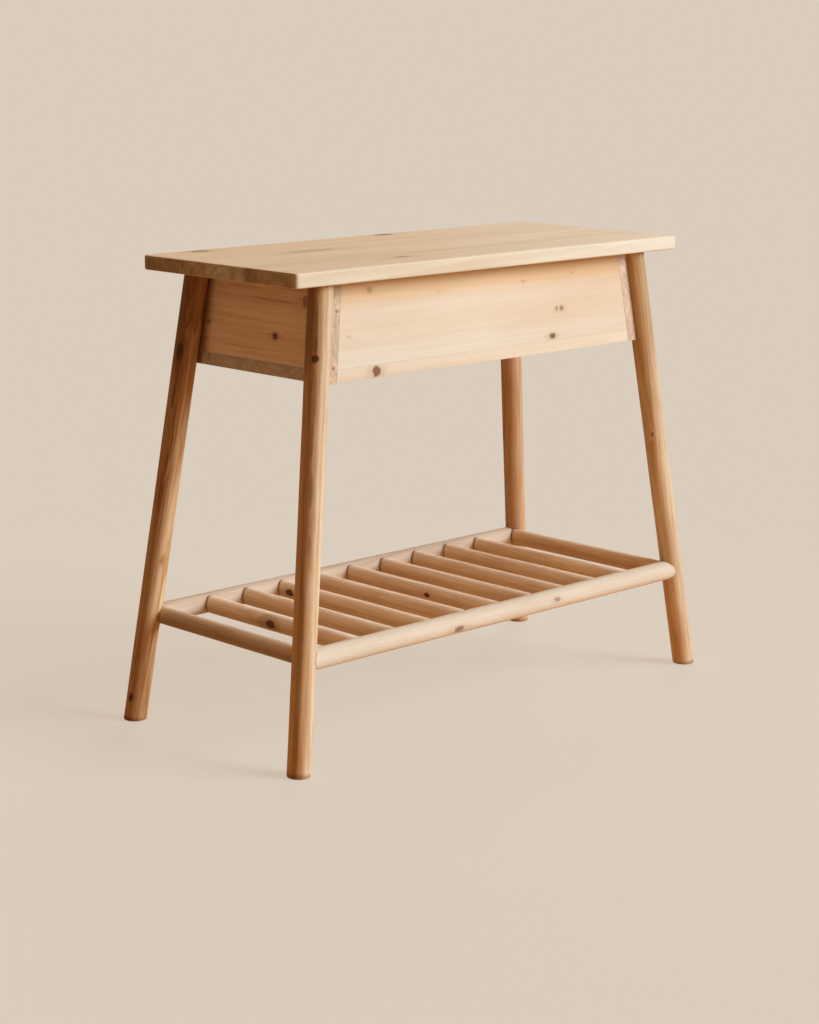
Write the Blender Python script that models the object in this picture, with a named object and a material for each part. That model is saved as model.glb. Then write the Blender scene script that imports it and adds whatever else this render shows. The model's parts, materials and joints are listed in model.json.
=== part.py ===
"""Pine entry bench: a hinged lid over a shallow storage box, four splayed legs and a slatted shelf.

Units are metres and +Z is up. X runs along the bench, -Y is its front, and the origin lies on the
floor under its middle. Left and right are as seen by someone who faces the front.
"""

import math

import bmesh
import bpy
from mathutils import Vector

# Clearance between pieces that touch
GAP = 0.0003

# Lid
BENCH_HEIGHT = 0.625
LID_THICKNESS = 0.019
LID_SIDE_OVERHANG = 0.079
LID_FRONT_OVERHANG = 0.026
LID_REAR_OVERHANG = 0.031
LID_CORNER_RADIUS = 0.006
LID_EDGE_RADIUS = 0.0025

# Legs
LEG_SPAN_LENGTH = 0.587
LEG_SPAN_DEPTH = 0.240
LEG_SPLAY_SIDE = math.radians(7.8)
LEG_SPLAY_DEPTH = math.radians(4.4)
LEG_TOP_DIAMETER = 0.032
LEG_FOOT_DIAMETER = 0.031
LEG_SEAT_DEPTH = 0.0015
FOOT_ROUNDING = 0.002

# Storage box
BOX_HEIGHT = 0.125
PANEL_THICKNESS = 0.018
BOTTOM_THICKNESS = 0.016
FRONT_PROUD = 0.0014
EAR_WIDTH = 0.018

# Dowels between each leg, the end panel and the front or back panel
DOWEL_DIAMETER = 0.005
DOWEL_SETBACK = 0.0048
DOWEL_IN_LEG = 0.017
DOWEL_IN_PANEL = 0.015
DOWEL_TOP_INSET = 0.034
DOWEL_BOTTOM_INSET = 0.037

# Shelf
SHELF_HEIGHT = 0.1425
RAIL_DIAMETER = 0.028
TENON_DIAMETER = 0.011
TENON_PAST_AXIS = 0.004
BAR_DIAMETER = 0.024
BAR_SEAT = 0.0075
SLAT_COUNT = 9
SLAT_PITCH = 0.065
END_BAR_INSET = 0.014

# Hinge rail behind the back panel
HINGE_RAIL_THICKNESS = 0.016
HINGE_RAIL_HEIGHT = 0.032
HINGE_RAIL_END_CLEARANCE = 0.025
HINGE_RAIL_SCREW_INSET = 0.026
HINGE_RAIL_SCREW_LENGTH = 0.028

# Butt hinges
LEAF_LENGTH = 0.050
LEAF_WIDTH = 0.018
LEAF_THICKNESS = 0.0015
BARREL_DIAMETER = 0.006
PIN_DIAMETER = 0.0032
MIDDLE_KNUCKLE = 0.024
HINGE_END_INSET = 0.056

# Countersunk screws
SCREW_HEAD_DIAMETER = 0.0054
SCREW_SHANK_DIAMETER = 0.0030
SCREW_HEAD_HEIGHT = 0.0013
SCREW_POINT_LENGTH = 0.003
SCREW_POINT_DIAMETER = 0.0008
HINGE_SCREW_LENGTH = 0.014
HINGE_SCREW_SPACING = 0.030

# Facets around round pieces
LEG_SIDES = 40
RAIL_SIDES = 40
BAR_SIDES = 32
TENON_SIDES = 24
DOWEL_SIDES = 16
BARREL_SIDES = 20
SCREW_SIDES = 12
CORNER_STEPS = 4
EDGE_STEPS = 2

# Colours, as linear red, green and blue
PINE_TOP = (0.68, 0.44, 0.25)
PINE_PANEL = (0.76, 0.55, 0.34)
PINE_ROUND = (0.62, 0.36, 0.17)
BEECH = (0.60, 0.40, 0.24)
STEEL = (0.55, 0.54, 0.52)

# Levels and slopes that follow from the sizes above
UNDERSIDE = BENCH_HEIGHT - LID_THICKNESS
BOX_TOP = UNDERSIDE - GAP
BOX_BOTTOM = UNDERSIDE - BOX_HEIGHT
BOARD_TOP = BOX_BOTTOM + BOTTOM_THICKNESS
SIDE_SLOPE = math.tan(LEG_SPLAY_SIDE)
DEPTH_SLOPE = math.tan(LEG_SPLAY_DEPTH)
SIDE_COS = math.cos(LEG_SPLAY_SIDE)
DEPTH_COS = math.cos(LEG_SPLAY_DEPTH)
CUT_PAST = 0.01


def leg_x(z):
    """Distance of a leg's axis from the middle of the bench, along its length, at height z."""
    return LEG_SPAN_LENGTH / 2 + (UNDERSIDE - z) * SIDE_SLOPE


def leg_y(z):
    """Distance of a leg's axis from the middle of the bench, front to back, at height z."""
    return LEG_SPAN_DEPTH / 2 + (UNDERSIDE - z) * DEPTH_SLOPE


def end_face_x(z):
    """Outer face of an end panel, which lies in the legs' seats and leans with them."""
    return leg_x(z) - (LEG_TOP_DIAMETER / 2 - LEG_SEAT_DEPTH) / SIDE_COS


def end_inside_x(z):
    """Inner face of an end panel."""
    return end_face_x(z) - PANEL_THICKNESS / SIDE_COS


def front_face_y(z):
    """Outer face of the front or back panel, which leans with the legs."""
    return leg_y(z) + FRONT_PROUD / DEPTH_COS


def front_inside_y(z):
    """Inner face of the front or back panel."""
    return front_face_y(z) - PANEL_THICKNESS / DEPTH_COS


def ear_y(z):
    """Inner edge of the ears by which an end panel reaches down past the bottom board."""
    return front_face_y(z) - EAR_WIDTH / DEPTH_COS


# The lid turns about the hinge pins, behind the rear legs' tops
HINGE_Z = UNDERSIDE - GAP - BARREL_DIAMETER / 2
HINGE_RAIL_TOP = HINGE_Z - BARREL_DIAMETER / 2 - GAP
HINGE_RAIL_FACE = (GAP + HINGE_RAIL_THICKNESS) / DEPTH_COS
HINGE_Y = front_face_y(HINGE_RAIL_TOP) + HINGE_RAIL_FACE + BARREL_DIAMETER / 2 + GAP
HINGE_RAIL_HALF = end_face_x(UNDERSIDE) - HINGE_RAIL_END_CLEARANCE
HINGE_X = HINGE_RAIL_HALF - HINGE_END_INSET - LEAF_LENGTH / 2


def clear_scene():
    """Remove whatever the file held before."""
    for obj in list(bpy.data.objects):
        bpy.data.objects.remove(obj, do_unlink=True)


def make_material(name, colour, roughness, metallic=0.0):
    """A plain Principled material."""
    material = bpy.data.materials.new(name)
    material.use_nodes = True
    shader = material.node_tree.nodes["Principled BSDF"]
    shader.inputs["Base Color"].default_value = (*colour, 1.0)
    shader.inputs["Roughness"].default_value = roughness
    shader.inputs["Metallic"].default_value = metallic
    return material


def finish_mesh(bm, name, smooth):
    """Turn a bmesh into a mesh whose faces point out."""
    bmesh.ops.recalc_face_normals(bm, faces=bm.faces)
    mesh = bpy.data.meshes.new(name)
    bm.to_mesh(mesh)
    bm.free()
    if smooth:
        mesh.shade_smooth()
        mesh.set_sharp_from_angle(angle=math.radians(40))
    return mesh


def add_object(name, mesh, material, location=(0, 0, 0), rotation=(0, 0, 0), parent=None):
    """Put a mesh in the scene, at a place given in the bench's own frame."""
    obj = bpy.data.objects.new(name, mesh)
    mesh.materials.clear()
    mesh.materials.append(material)
    bpy.context.scene.collection.objects.link(obj)
    place = Vector(location)
    if parent is not None:
        obj.parent = parent
        place = place - parent.location
    obj.location = place
    obj.rotation_euler = rotation
    return obj


def add_cutter(name, mesh, location=(0, 0, 0), rotation=(0, 0, 0)):
    """A shape that only cuts or joins others."""
    obj = bpy.data.objects.new(name, mesh)
    bpy.context.scene.collection.objects.link(obj)
    obj.location = location
    obj.rotation_euler = rotation
    obj.hide_render = True
    obj.display_type = "WIRE"
    return obj


def combine(obj, tool, operation="DIFFERENCE"):
    """Cut a tool shape from an object, or join it on."""
    boolean = obj.modifiers.new(operation.lower() + "_" + tool.name, "BOOLEAN")
    boolean.operation = operation
    boolean.solver = "EXACT"
    boolean.object = tool


def loft(bm, loops):
    """Close a row of matching point loops into one body with flat ends."""
    rings = [[bm.verts.new(point) for point in loop] for loop in loops]
    for lower, upper in zip(rings, rings[1:]):
        for i in range(len(lower)):
            j = (i + 1) % len(lower)
            bm.faces.new((lower[i], lower[j], upper[j], upper[i]))
    bm.faces.new(rings[0])
    bm.faces.new(list(reversed(rings[-1])))


def loft_mesh(name, loops, smooth=False):
    """A mesh made of one lofted body."""
    bm = bmesh.new()
    loft(bm, loops)
    return finish_mesh(bm, name, smooth)


def circle(radius, sides, height=0.0):
    """Points of a level circle, with a flat facet at each end of its axes."""
    step = 2 * math.pi / sides
    return [
        Vector((radius * math.cos((i + 0.5) * step), radius * math.sin((i + 0.5) * step), height))
        for i in range(sides)
    ]


def turned_mesh(name, profile, sides):
    """A body turned about its own Z axis from (height, radius) pairs."""
    return loft_mesh(name, [circle(radius, sides, height) for height, radius in profile], smooth=True)


def aim(start, end):
    """Rotation that carries +Z to the direction from start to end."""
    return (Vector(end) - Vector(start)).to_track_quat("Z", "Y").to_euler()


def rod(name, start, end, radius, sides, material, parent=None):
    """A straight round bar from start to end."""
    length = (Vector(end) - Vector(start)).length
    mesh = turned_mesh(name, [(0, radius), (length, radius)], sides)
    return add_object(name, mesh, material, start, aim(start, end), parent)


def rod_cutter(name, lines, radius, sides):
    """One tool shape made of a round bar along each line."""
    bm = bmesh.new()
    for start, end in lines:
        length = (Vector(end) - Vector(start)).length
        turn = aim(start, end).to_matrix()
        ends = [
            [turn @ point + Vector(start) for point in circle(radius, sides, height)]
            for height in (0, length)
        ]
        loft(bm, ends)
    return add_cutter(name, finish_mesh(bm, name, False))


# Legs, each numbered by the signs of its X and Y
LEGS = {
    "front_left": (-1, -1),
    "front_right": (1, -1),
    "rear_left": (-1, 1),
    "rear_right": (1, 1),
}


def leg_loops(side, face, grow, levels):
    """Level rings round a leaning, tapering leg, as (height, inset) pairs, from its foot's centre."""
    top = Vector((-side * UNDERSIDE * SIDE_SLOPE, -face * UNDERSIDE * DEPTH_SLOPE, UNDERSIDE))
    along = top.normalized()
    across = along.cross(Vector((0, 1, 0))).normalized()
    other = along.cross(across)
    foot_radius = LEG_FOOT_DIAMETER / 2 + grow
    taper = (LEG_TOP_DIAMETER - LEG_FOOT_DIAMETER) / 2 / top.length
    loops = []
    for height, inset in levels:
        ring = []
        for i in range(LEG_SIDES):
            angle = 2 * math.pi * i / LEG_SIDES
            out = across * math.cos(angle) + other * math.sin(angle)
            distance = (height - (foot_radius - inset) * out.z) / (along.z + taper * out.z)
            radius = foot_radius - inset + taper * distance
            ring.append(along * distance + out * radius)
        loops.append(ring)
    return loops


def foot_centre(side, face):
    """Where a leg's axis meets the floor."""
    return Vector((side * leg_x(0), face * leg_y(0), 0))


def build_legs(material, tools):
    """Four round legs, level at both ends, with seats for the box and holes for what enters them."""
    levels = [
        (0, FOOT_ROUNDING),
        (FOOT_ROUNDING * 0.3, FOOT_ROUNDING * 0.3),
        (FOOT_ROUNDING, 0),
        (BOX_TOP, 0),
    ]
    for name, (side, face) in LEGS.items():
        mesh = loft_mesh("leg_" + name, leg_loops(side, face, 0, levels), smooth=True)
        leg = add_object("leg_" + name, mesh, material, foot_centre(side, face))
        for tool in tools:
            combine(leg, tool)


def leg_envelope():
    """The legs grown by the clearance, to hollow the ends of the rails to their shape."""
    levels = [(-CUT_PAST, 0), (UNDERSIDE + CUT_PAST, 0)]
    bm = bmesh.new()
    for side, face in LEGS.values():
        foot = foot_centre(side, face)
        loft(bm, [[foot + point for point in ring] for ring in leg_loops(side, face, GAP, levels)])
    return add_cutter("leg_envelope", finish_mesh(bm, "leg_envelope", False))


def box_envelope():
    """The space of the box between its end faces, grown by the clearance, to cut the legs' seats."""
    loops = []
    for z in (BOX_BOTTOM - GAP, UNDERSIDE + CUT_PAST):
        x = end_face_x(z) + GAP / SIDE_COS
        y = front_face_y(z) + LEG_TOP_DIAMETER
        loops.append([Vector((sx * x, sy * y, z)) for sx, sy in ((-1, -1), (1, -1), (1, 1), (-1, 1))])
    return add_cutter("box_envelope", loft_mesh("box_envelope", loops))


def dowel_lines():
    """Ends of every dowel, square to the end panels and set back into the front and back panels."""
    levels = {"upper": UNDERSIDE - DOWEL_TOP_INSET, "lower": BOX_BOTTOM + DOWEL_BOTTOM_INSET}
    lines = {}
    for leg, (side, face) in LEGS.items():
        out = Vector((side * SIDE_COS, 0, math.sin(LEG_SPLAY_SIDE)))
        for level, z in levels.items():
            dowel_y = front_face_y(z) - DOWEL_SETBACK
            seat = Vector((side * end_face_x(z), face * dowel_y, z))
            start = seat - out * (PANEL_THICKNESS + DOWEL_IN_PANEL)
            lines["leg_dowel_" + leg + "_" + level] = (start, seat + out * DOWEL_IN_LEG)
    return lines


def lengthen(line, extra):
    """A line made longer at both ends."""
    start, end = Vector(line[0]), Vector(line[1])
    step = (end - start).normalized() * extra
    return start - step, end + step


def build_dowels(material):
    """Dowels, and the tool that drills for them."""
    lines = dowel_lines()
    for name, (start, end) in lines.items():
        rod(name, start, end, DOWEL_DIAMETER / 2, DOWEL_SIDES, material)
    bores = [lengthen(line, GAP) for line in lines.values()]
    return rod_cutter("dowel_bores", bores, DOWEL_DIAMETER / 2 + GAP, DOWEL_SIDES)


def build_box(material, dowel_bores):
    """Front, back and end panels standing on a bottom board that is notched round the ends' ears."""
    seat = BOARD_TOP + GAP
    panels = []
    for name, face in (("front_panel", -1), ("back_panel", 1)):
        loops = []
        for z in (seat, BOX_TOP):
            x = end_inside_x(z) - GAP / SIDE_COS
            outer = face * front_face_y(z)
            inner = face * front_inside_y(z)
            corners = ((-x, outer, z), (x, outer, z), (x, inner, z), (-x, inner, z))
            loops.append([Vector(corner) for corner in corners])
        panels.append(add_object(name, loft_mesh(name, loops), material))
    outline = [
        (front_face_y, -1, BOX_BOTTOM),
        (ear_y, -1, BOX_BOTTOM),
        (ear_y, -1, seat),
        (ear_y, 1, seat),
        (ear_y, 1, BOX_BOTTOM),
        (front_face_y, 1, BOX_BOTTOM),
        (front_face_y, 1, BOX_TOP),
        (front_face_y, -1, BOX_TOP),
    ]
    for name, side in (("left_end_panel", -1), ("right_end_panel", 1)):
        loops = [
            [Vector((side * face_x(z), sign * edge_y(z), z)) for edge_y, sign, z in outline]
            for face_x in (end_inside_x, end_face_x)
        ]
        panels.append(add_object(name, loft_mesh(name, loops), material))
    for panel in panels:
        combine(panel, dowel_bores)
    loops = []
    for z in (BOX_BOTTOM, BOARD_TOP):
        far_x, near_x = end_face_x(z), end_inside_x(z) - GAP / SIDE_COS
        far_y, near_y = front_face_y(z), ear_y(z) - GAP / DEPTH_COS
        quarter = [(near_x, far_y), (near_x, near_y), (far_x, near_y)]
        ring = []
        for sx, sy in ((1, -1), (1, 1), (-1, 1), (-1, -1)):
            corner = [Vector((sx * x, sy * y, z)) for x, y in quarter]
            ring.extend(corner if sx * sy < 0 else reversed(corner))
        loops.append(ring)
    add_object("bottom_board", loft_mesh("bottom_board", loops), material)
    return {panel.name: panel for panel in panels}


def build_shelf(material):
    """Two round rails tenoned into the legs, and round bars let into them from front to back."""
    x, y, z = leg_x(SHELF_HEIGHT), leg_y(SHELF_HEIGHT), SHELF_HEIGHT
    end_x = x - END_BAR_INSET
    bars = {"shelf_end_bar_left": -end_x, "shelf_end_bar_right": end_x}
    for i in range(SLAT_COUNT):
        bars[f"shelf_slat_{i + 1}"] = (i - (SLAT_COUNT - 1) / 2) * SLAT_PITCH
    reach = y - BAR_SEAT
    sockets = []
    for name, bar_x in bars.items():
        line = ((bar_x, -reach, z), (bar_x, reach, z))
        rod(name, *line, BAR_DIAMETER / 2, BAR_SIDES, material)
        sockets.append(lengthen(line, GAP))
    bar_sockets = rod_cutter("bar_sockets", sockets, BAR_DIAMETER / 2 + GAP, BAR_SIDES)
    legs = leg_envelope()
    mortises = []
    for name, rail_y in (("shelf_front_rail", -y), ("shelf_rear_rail", y)):
        line = ((-x, rail_y, z), (x, rail_y, z))
        tenon = lengthen(line, TENON_PAST_AXIS)
        rail = rod(name, *line, RAIL_DIAMETER / 2, RAIL_SIDES, material)
        combine(rail, legs)
        combine(rail, rod_cutter(name + "_tenon", [tenon], TENON_DIAMETER / 2, TENON_SIDES), "UNION")
        combine(rail, bar_sockets)
        mortises.append(lengthen(tenon, GAP))
    tenon_mortises = rod_cutter("tenon_mortises", mortises, TENON_DIAMETER / 2 + GAP, TENON_SIDES)
    return [tenon_mortises, bar_sockets]


def build_lid(material, hinge_axis):
    """The glued-up top board, with small round corners and eased edges."""
    x = end_face_x(UNDERSIDE) + LID_SIDE_OVERHANG
    front = -front_face_y(UNDERSIDE) - LID_FRONT_OVERHANG
    rear = front_face_y(UNDERSIDE) + LID_REAR_OVERHANG
    bm = bmesh.new()
    corners = ((-x, front), (x, front), (x, rear), (-x, rear))
    middle_y = (front + rear) / 2
    loft(bm, [[Vector((cx, cy - middle_y, z)) for cx, cy in corners] for z in (0, LID_THICKNESS)])
    upright = [e for e in bm.edges if abs(e.verts[0].co.z - e.verts[1].co.z) > LID_THICKNESS / 2]
    bmesh.ops.bevel(
        bm, geom=upright, offset=LID_CORNER_RADIUS, segments=CORNER_STEPS, profile=0.5, affect="EDGES"
    )
    bmesh.ops.recalc_face_normals(bm, faces=bm.faces)
    level = [f for f in bm.faces if abs(f.normal.z) > 0.5]
    rims = [e for f in level for e in f.edges]
    bmesh.ops.bevel(bm, geom=rims, offset=LID_EDGE_RADIUS, segments=EDGE_STEPS, profile=0.5, affect="EDGES")
    mesh = finish_mesh(bm, "lid_top", smooth=True)
    return add_object("lid_top", mesh, material, (0, middle_y, UNDERSIDE), parent=hinge_axis)


def screw_profile(length, grow):
    """Countersunk screw from its head's face down, as (depth, radius) pairs."""
    return [
        (0, SCREW_HEAD_DIAMETER / 2 + grow),
        (SCREW_HEAD_HEIGHT, SCREW_SHANK_DIAMETER / 2 + grow),
        (length - SCREW_POINT_LENGTH + grow, SCREW_SHANK_DIAMETER / 2 + grow),
        (length + grow, SCREW_POINT_DIAMETER / 2 + grow),
    ]


def build_screw(name, head, direction, length, material, pieces, parent=None):
    """One screw, and its hole in each piece that it passes through."""
    head = Vector(head)
    turn = aim(head, head + Vector(direction))
    mesh = turned_mesh(name, screw_profile(length, 0), SCREW_SIDES)
    add_object(name, mesh, material, head, turn, parent)
    drill = [(-CUT_PAST, SCREW_HEAD_DIAMETER / 2 + GAP)] + screw_profile(length, GAP)
    hole = add_cutter(name + "_hole", turned_mesh(name + "_hole", drill, SCREW_SIDES), head, turn)
    for piece in pieces:
        combine(piece, hole)


def build_hinge_rail(wood, steel, back_panel):
    """A rail screwed to the back panel, level with the rear legs' backs, that carries the hinges."""
    loops = []
    for z in (HINGE_RAIL_TOP - HINGE_RAIL_HEIGHT, HINGE_RAIL_TOP):
        near = front_face_y(z) + GAP / DEPTH_COS
        far = front_face_y(z) + HINGE_RAIL_FACE
        x = HINGE_RAIL_HALF
        loops.append([Vector(p) for p in ((-x, near, z), (x, near, z), (x, far, z), (-x, far, z))])
    rail = add_object("hinge_rail", loft_mesh("hinge_rail", loops), wood)
    z = HINGE_RAIL_TOP - HINGE_RAIL_HEIGHT / 2
    reach = HINGE_RAIL_HALF - HINGE_RAIL_SCREW_INSET
    inward = (0, -DEPTH_COS, -math.sin(LEG_SPLAY_DEPTH))
    for name, x in (("left", -reach), ("middle", 0), ("right", reach)):
        head = (x, front_face_y(z) + HINGE_RAIL_FACE, z)
        build_screw(
            "hinge_rail_screw_" + name, head, inward, HINGE_RAIL_SCREW_LENGTH, steel, [rail, back_panel]
        )
    return rail


def leaf_mesh(name, knuckles):
    """A hinge leaf's plate, with a neck to each of its knuckles, from the pin's axis."""
    root = -BARREL_DIAMETER / 2 - GAP
    half = LEAF_LENGTH / 2
    outline = [(-half, -LEAF_WIDTH), (half, -LEAF_WIDTH), (half, root)]
    for low, high in reversed(knuckles):
        outline.extend([(high, root), (high, 0), (low, 0), (low, root)])
    outline.append((-half, root))
    kept = [p for i, p in enumerate(outline) if p != outline[i - 1]]
    loops = [[Vector((x, y, z)) for x, y in kept] for z in (-LEAF_THICKNESS, 0)]
    return loft_mesh(name, loops)


def build_hinge(side, x, steel, hinge_axis, rail, lid):
    """A butt hinge: two leaves with knuckles, their pin and their screws."""
    radius = BARREL_DIAMETER / 2
    half = LEAF_LENGTH / 2
    middle = MIDDLE_KNUCKLE / 2
    axis = Vector((x, HINGE_Y, HINGE_Z))
    pin = (axis - Vector((half, 0, 0)), axis + Vector((half, 0, 0)))
    rod("hinge_" + side + "_pin", *pin, PIN_DIAMETER / 2, BARREL_SIDES, steel)
    bore = [lengthen(pin, GAP)]
    pin_bore = rod_cutter("hinge_" + side + "_pin_bore", bore, PIN_DIAMETER / 2 + GAP, BARREL_SIDES)
    leaves = {
        "lid": ([(-middle, middle)], radius, 1, lid, hinge_axis),
        "box": ([(-half, -middle - GAP), (middle + GAP, half)], -radius + LEAF_THICKNESS, -1, rail, None),
    }
    screw_y = HINGE_Y - (LEAF_WIDTH + radius + GAP) / 2
    for kind, (knuckles, face, up, carrier, parent) in leaves.items():
        name = "hinge_" + side + "_" + kind + "_leaf"
        place = axis + Vector((0, 0, face))
        leaf = add_object(name, leaf_mesh(name, knuckles), steel, place, parent=parent)
        lines = [(axis + Vector((low, 0, 0)), axis + Vector((high, 0, 0))) for low, high in knuckles]
        combine(leaf, rod_cutter(name + "_knuckles", lines, radius, BARREL_SIDES), "UNION")
        combine(leaf, pin_bore)
        shown = HINGE_Z + up * (radius - LEAF_THICKNESS)
        for number, offset in enumerate((-HINGE_SCREW_SPACING / 2, HINGE_SCREW_SPACING / 2), start=1):
            build_screw(
                f"hinge_{side}_{kind}_screw_{number}",
                (x + offset, screw_y, shown),
                (0, 0, up),
                HINGE_SCREW_LENGTH,
                steel,
                [leaf, carrier],
                parent,
            )


def build_bench():
    """Make every piece of the bench."""
    clear_scene()
    top_wood = make_material("pine_top", PINE_TOP, 0.55)
    panel_wood = make_material("pine_panel", PINE_PANEL, 0.6)
    round_wood = make_material("pine_round", PINE_ROUND, 0.55)
    dowel_wood = make_material("beech_dowel", BEECH, 0.65)
    steel = make_material("zinc_plated_steel", STEEL, 0.35, metallic=1.0)
    hinge_axis = bpy.data.objects.new("lid_hinge_axis", None)
    hinge_axis.location = (0, HINGE_Y, HINGE_Z)
    bpy.context.scene.collection.objects.link(hinge_axis)

    dowel_bores = build_dowels(dowel_wood)
    panels = build_box(panel_wood, dowel_bores)
    shelf_cuts = build_shelf(round_wood)
    build_legs(round_wood, [box_envelope(), dowel_bores] + shelf_cuts)
    lid = build_lid(top_wood, hinge_axis)
    rail = build_hinge_rail(panel_wood, steel, panels["back_panel"])
    for side, x in (("left", -HINGE_X), ("right", HINGE_X)):
        build_hinge(side, x, steel, hinge_axis, rail, lid)


build_bench()
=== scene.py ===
# %% [markdown]
# # A pine entry bench
#
# The bench is plain joinery: a board that lifts as a lid, a shallow box under it, four round legs that
# splay outward and a shelf of round bars near the floor. The CAD frame gives every piece its place and its
# size. This notebook makes the pieces that one sees again, with softer edges and with wood grain, and puts
# each one exactly where the frame has it.

# %% Load the frame
import json
import math

import bmesh
import bpy
from mathutils import Matrix, Quaternion, Vector, noise

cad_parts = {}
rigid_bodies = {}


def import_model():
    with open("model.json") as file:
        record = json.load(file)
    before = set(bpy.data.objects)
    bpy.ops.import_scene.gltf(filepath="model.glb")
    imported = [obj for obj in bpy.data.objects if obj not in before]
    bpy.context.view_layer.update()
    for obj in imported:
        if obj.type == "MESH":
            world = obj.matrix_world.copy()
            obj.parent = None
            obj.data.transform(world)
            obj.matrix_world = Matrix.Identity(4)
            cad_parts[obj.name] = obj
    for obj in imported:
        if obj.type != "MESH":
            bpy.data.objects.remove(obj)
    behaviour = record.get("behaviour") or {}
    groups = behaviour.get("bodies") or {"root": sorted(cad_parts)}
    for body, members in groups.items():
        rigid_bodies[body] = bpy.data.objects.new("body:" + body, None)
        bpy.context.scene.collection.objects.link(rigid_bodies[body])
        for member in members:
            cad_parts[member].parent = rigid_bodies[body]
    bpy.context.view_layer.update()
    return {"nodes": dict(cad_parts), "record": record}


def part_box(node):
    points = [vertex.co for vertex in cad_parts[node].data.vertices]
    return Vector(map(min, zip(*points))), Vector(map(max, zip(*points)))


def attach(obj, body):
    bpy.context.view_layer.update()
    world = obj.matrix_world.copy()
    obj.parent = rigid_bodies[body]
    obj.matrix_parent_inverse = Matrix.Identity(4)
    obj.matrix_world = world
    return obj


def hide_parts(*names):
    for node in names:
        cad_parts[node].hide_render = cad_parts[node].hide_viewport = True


for leftover in list(bpy.data.objects):
    bpy.data.objects.remove(leftover, do_unlink=True)
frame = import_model()

# %% [markdown]
# The first numbers to settle are the ones that many pieces share. A chair maker would call them the splay
# of the legs and the slope of the box. The feet, the bottom board and the bars are read from the frame,
# and everything that leans is worked out from them, so a piece can't drift away from its neighbour.

# %% Shared sizes
GAP = 0.0003
SPLAY_SIDE = math.radians(7.8)
SPLAY_DEPTH = math.radians(4.4)
LEG_TOP_RADIUS = 0.016
LEG_FOOT_RADIUS = 0.0155
PANEL_THICKNESS = 0.018
EAR_WIDTH = 0.018
LEGS = {"front_left": (-1, -1), "front_right": (1, -1), "rear_left": (-1, 1), "rear_right": (1, 1)}


def node_box(node):
    """Lowest and highest corner of a CAD node at rest."""
    low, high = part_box(node)
    return Vector(low), Vector(high)


mounts = {mount["name"]: Vector(mount["pos_m"]) for mount in frame["record"]["mounts"]}
foot = mounts["foot_rear_right"]
lid_low, lid_high = node_box("lid_top")
board_low, board_high = node_box("bottom_board")
rail_low, rail_high = node_box("shelf_front_rail")
slat_low, slat_high = node_box("shelf_slat_1")
UNDERSIDE = lid_low.z
BOX_TOP = UNDERSIDE - GAP
BOX_BOTTOM = board_low.z
BOARD_TOP = board_high.z
SHELF_HEIGHT = (slat_low.z + slat_high.z) / 2
RAIL_RADIUS = (rail_high.z - rail_low.z) / 2
BAR_RADIUS = (slat_high.z - slat_low.z) / 2
print("shelf height", round(SHELF_HEIGHT, 4))
print("rail and bar radius", round(RAIL_RADIUS, 4), round(BAR_RADIUS, 4))

# %% Slopes
SIDE_SIN, SIDE_COS, SIDE_TAN = math.sin(SPLAY_SIDE), math.cos(SPLAY_SIDE), math.tan(SPLAY_SIDE)
DEPTH_SIN, DEPTH_COS, DEPTH_TAN = math.sin(SPLAY_DEPTH), math.cos(SPLAY_DEPTH), math.tan(SPLAY_DEPTH)


def leg_x(z):
    """Distance of a leg's axis from the bench's middle, along its length, at height z."""
    return foot.x - z * SIDE_TAN


def leg_y(z):
    """Distance of a leg's axis from the bench's middle, front to back, at height z."""
    return foot.y - z * DEPTH_TAN


def end_face_x(z):
    """Outer face of an end panel."""
    return board_high.x - (z - BOX_BOTTOM) * SIDE_TAN


def end_inside_x(z):
    """Inner face of an end panel."""
    return end_face_x(z) - PANEL_THICKNESS / SIDE_COS


def front_face_y(z):
    """Outer face of the front or back panel."""
    return board_high.y - (z - BOX_BOTTOM) * DEPTH_TAN


def front_inside_y(z):
    """Inner face of the front or back panel."""
    return front_face_y(z) - PANEL_THICKNESS / DEPTH_COS


def ear_y(z):
    """Inner edge of the ears by which an end panel reaches down past the bottom board."""
    return front_face_y(z) - EAR_WIDTH / DEPTH_COS


print("leg axis at the lid:", round(leg_x(UNDERSIDE), 4), round(leg_y(UNDERSIDE), 4))
print("box faces at the lid:", round(end_face_x(UNDERSIDE), 4), round(front_face_y(UNDERSIDE), 4))

# %% [markdown]
# The camera stands to the front left of the bench, a little above its top, some three metres away with a
# long lens. Its place was worked out from the corners of the lid and the four feet in the photograph. The
# lens is written from the focal length in pixels, because that is what such a fit gives.

# %% Camera
IMAGE_HEIGHT = 1024
FOCAL_PIXELS = 2311.5
SENSOR = 36.0
CAMERA_YAW = -44.14
CAMERA_PITCH = 12.27
CAMERA_ROLL = math.radians(0.18)
CAMERA_DISTANCE = 3.2046
CAMERA_TARGET = Vector((-0.0121, 0.0118, 0.2552))


def direction_to(azimuth, elevation):
    """A unit vector; azimuth 0 is straight in front of the bench and 90 is to its right."""
    turn, rise = math.radians(azimuth), math.radians(elevation)
    level = math.cos(rise)
    return Vector((math.sin(turn) * level, -math.cos(turn) * level, math.sin(rise)))


def add_object(name, data):
    """An object for some data, linked into the scene."""
    added = bpy.data.objects.new(name, data)
    bpy.context.scene.collection.objects.link(added)
    return added


backward = direction_to(CAMERA_YAW, CAMERA_PITCH)
lens = bpy.data.cameras.new("photo_camera")
lens.sensor_fit = "AUTO"
lens.sensor_width = SENSOR
lens.lens = SENSOR * FOCAL_PIXELS / IMAGE_HEIGHT
camera = add_object("photo_camera", lens)
camera.location = CAMERA_TARGET + backward * CAMERA_DISTANCE
camera.rotation_mode = "QUATERNION"
camera.rotation_quaternion = backward.to_track_quat("Z", "Y") @ Quaternion((0, 0, 1), CAMERA_ROLL)
bpy.context.scene.camera = camera
print("camera at", [round(value, 3) for value in camera.location], "lens", round(lens.lens, 2), "mm")

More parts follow.
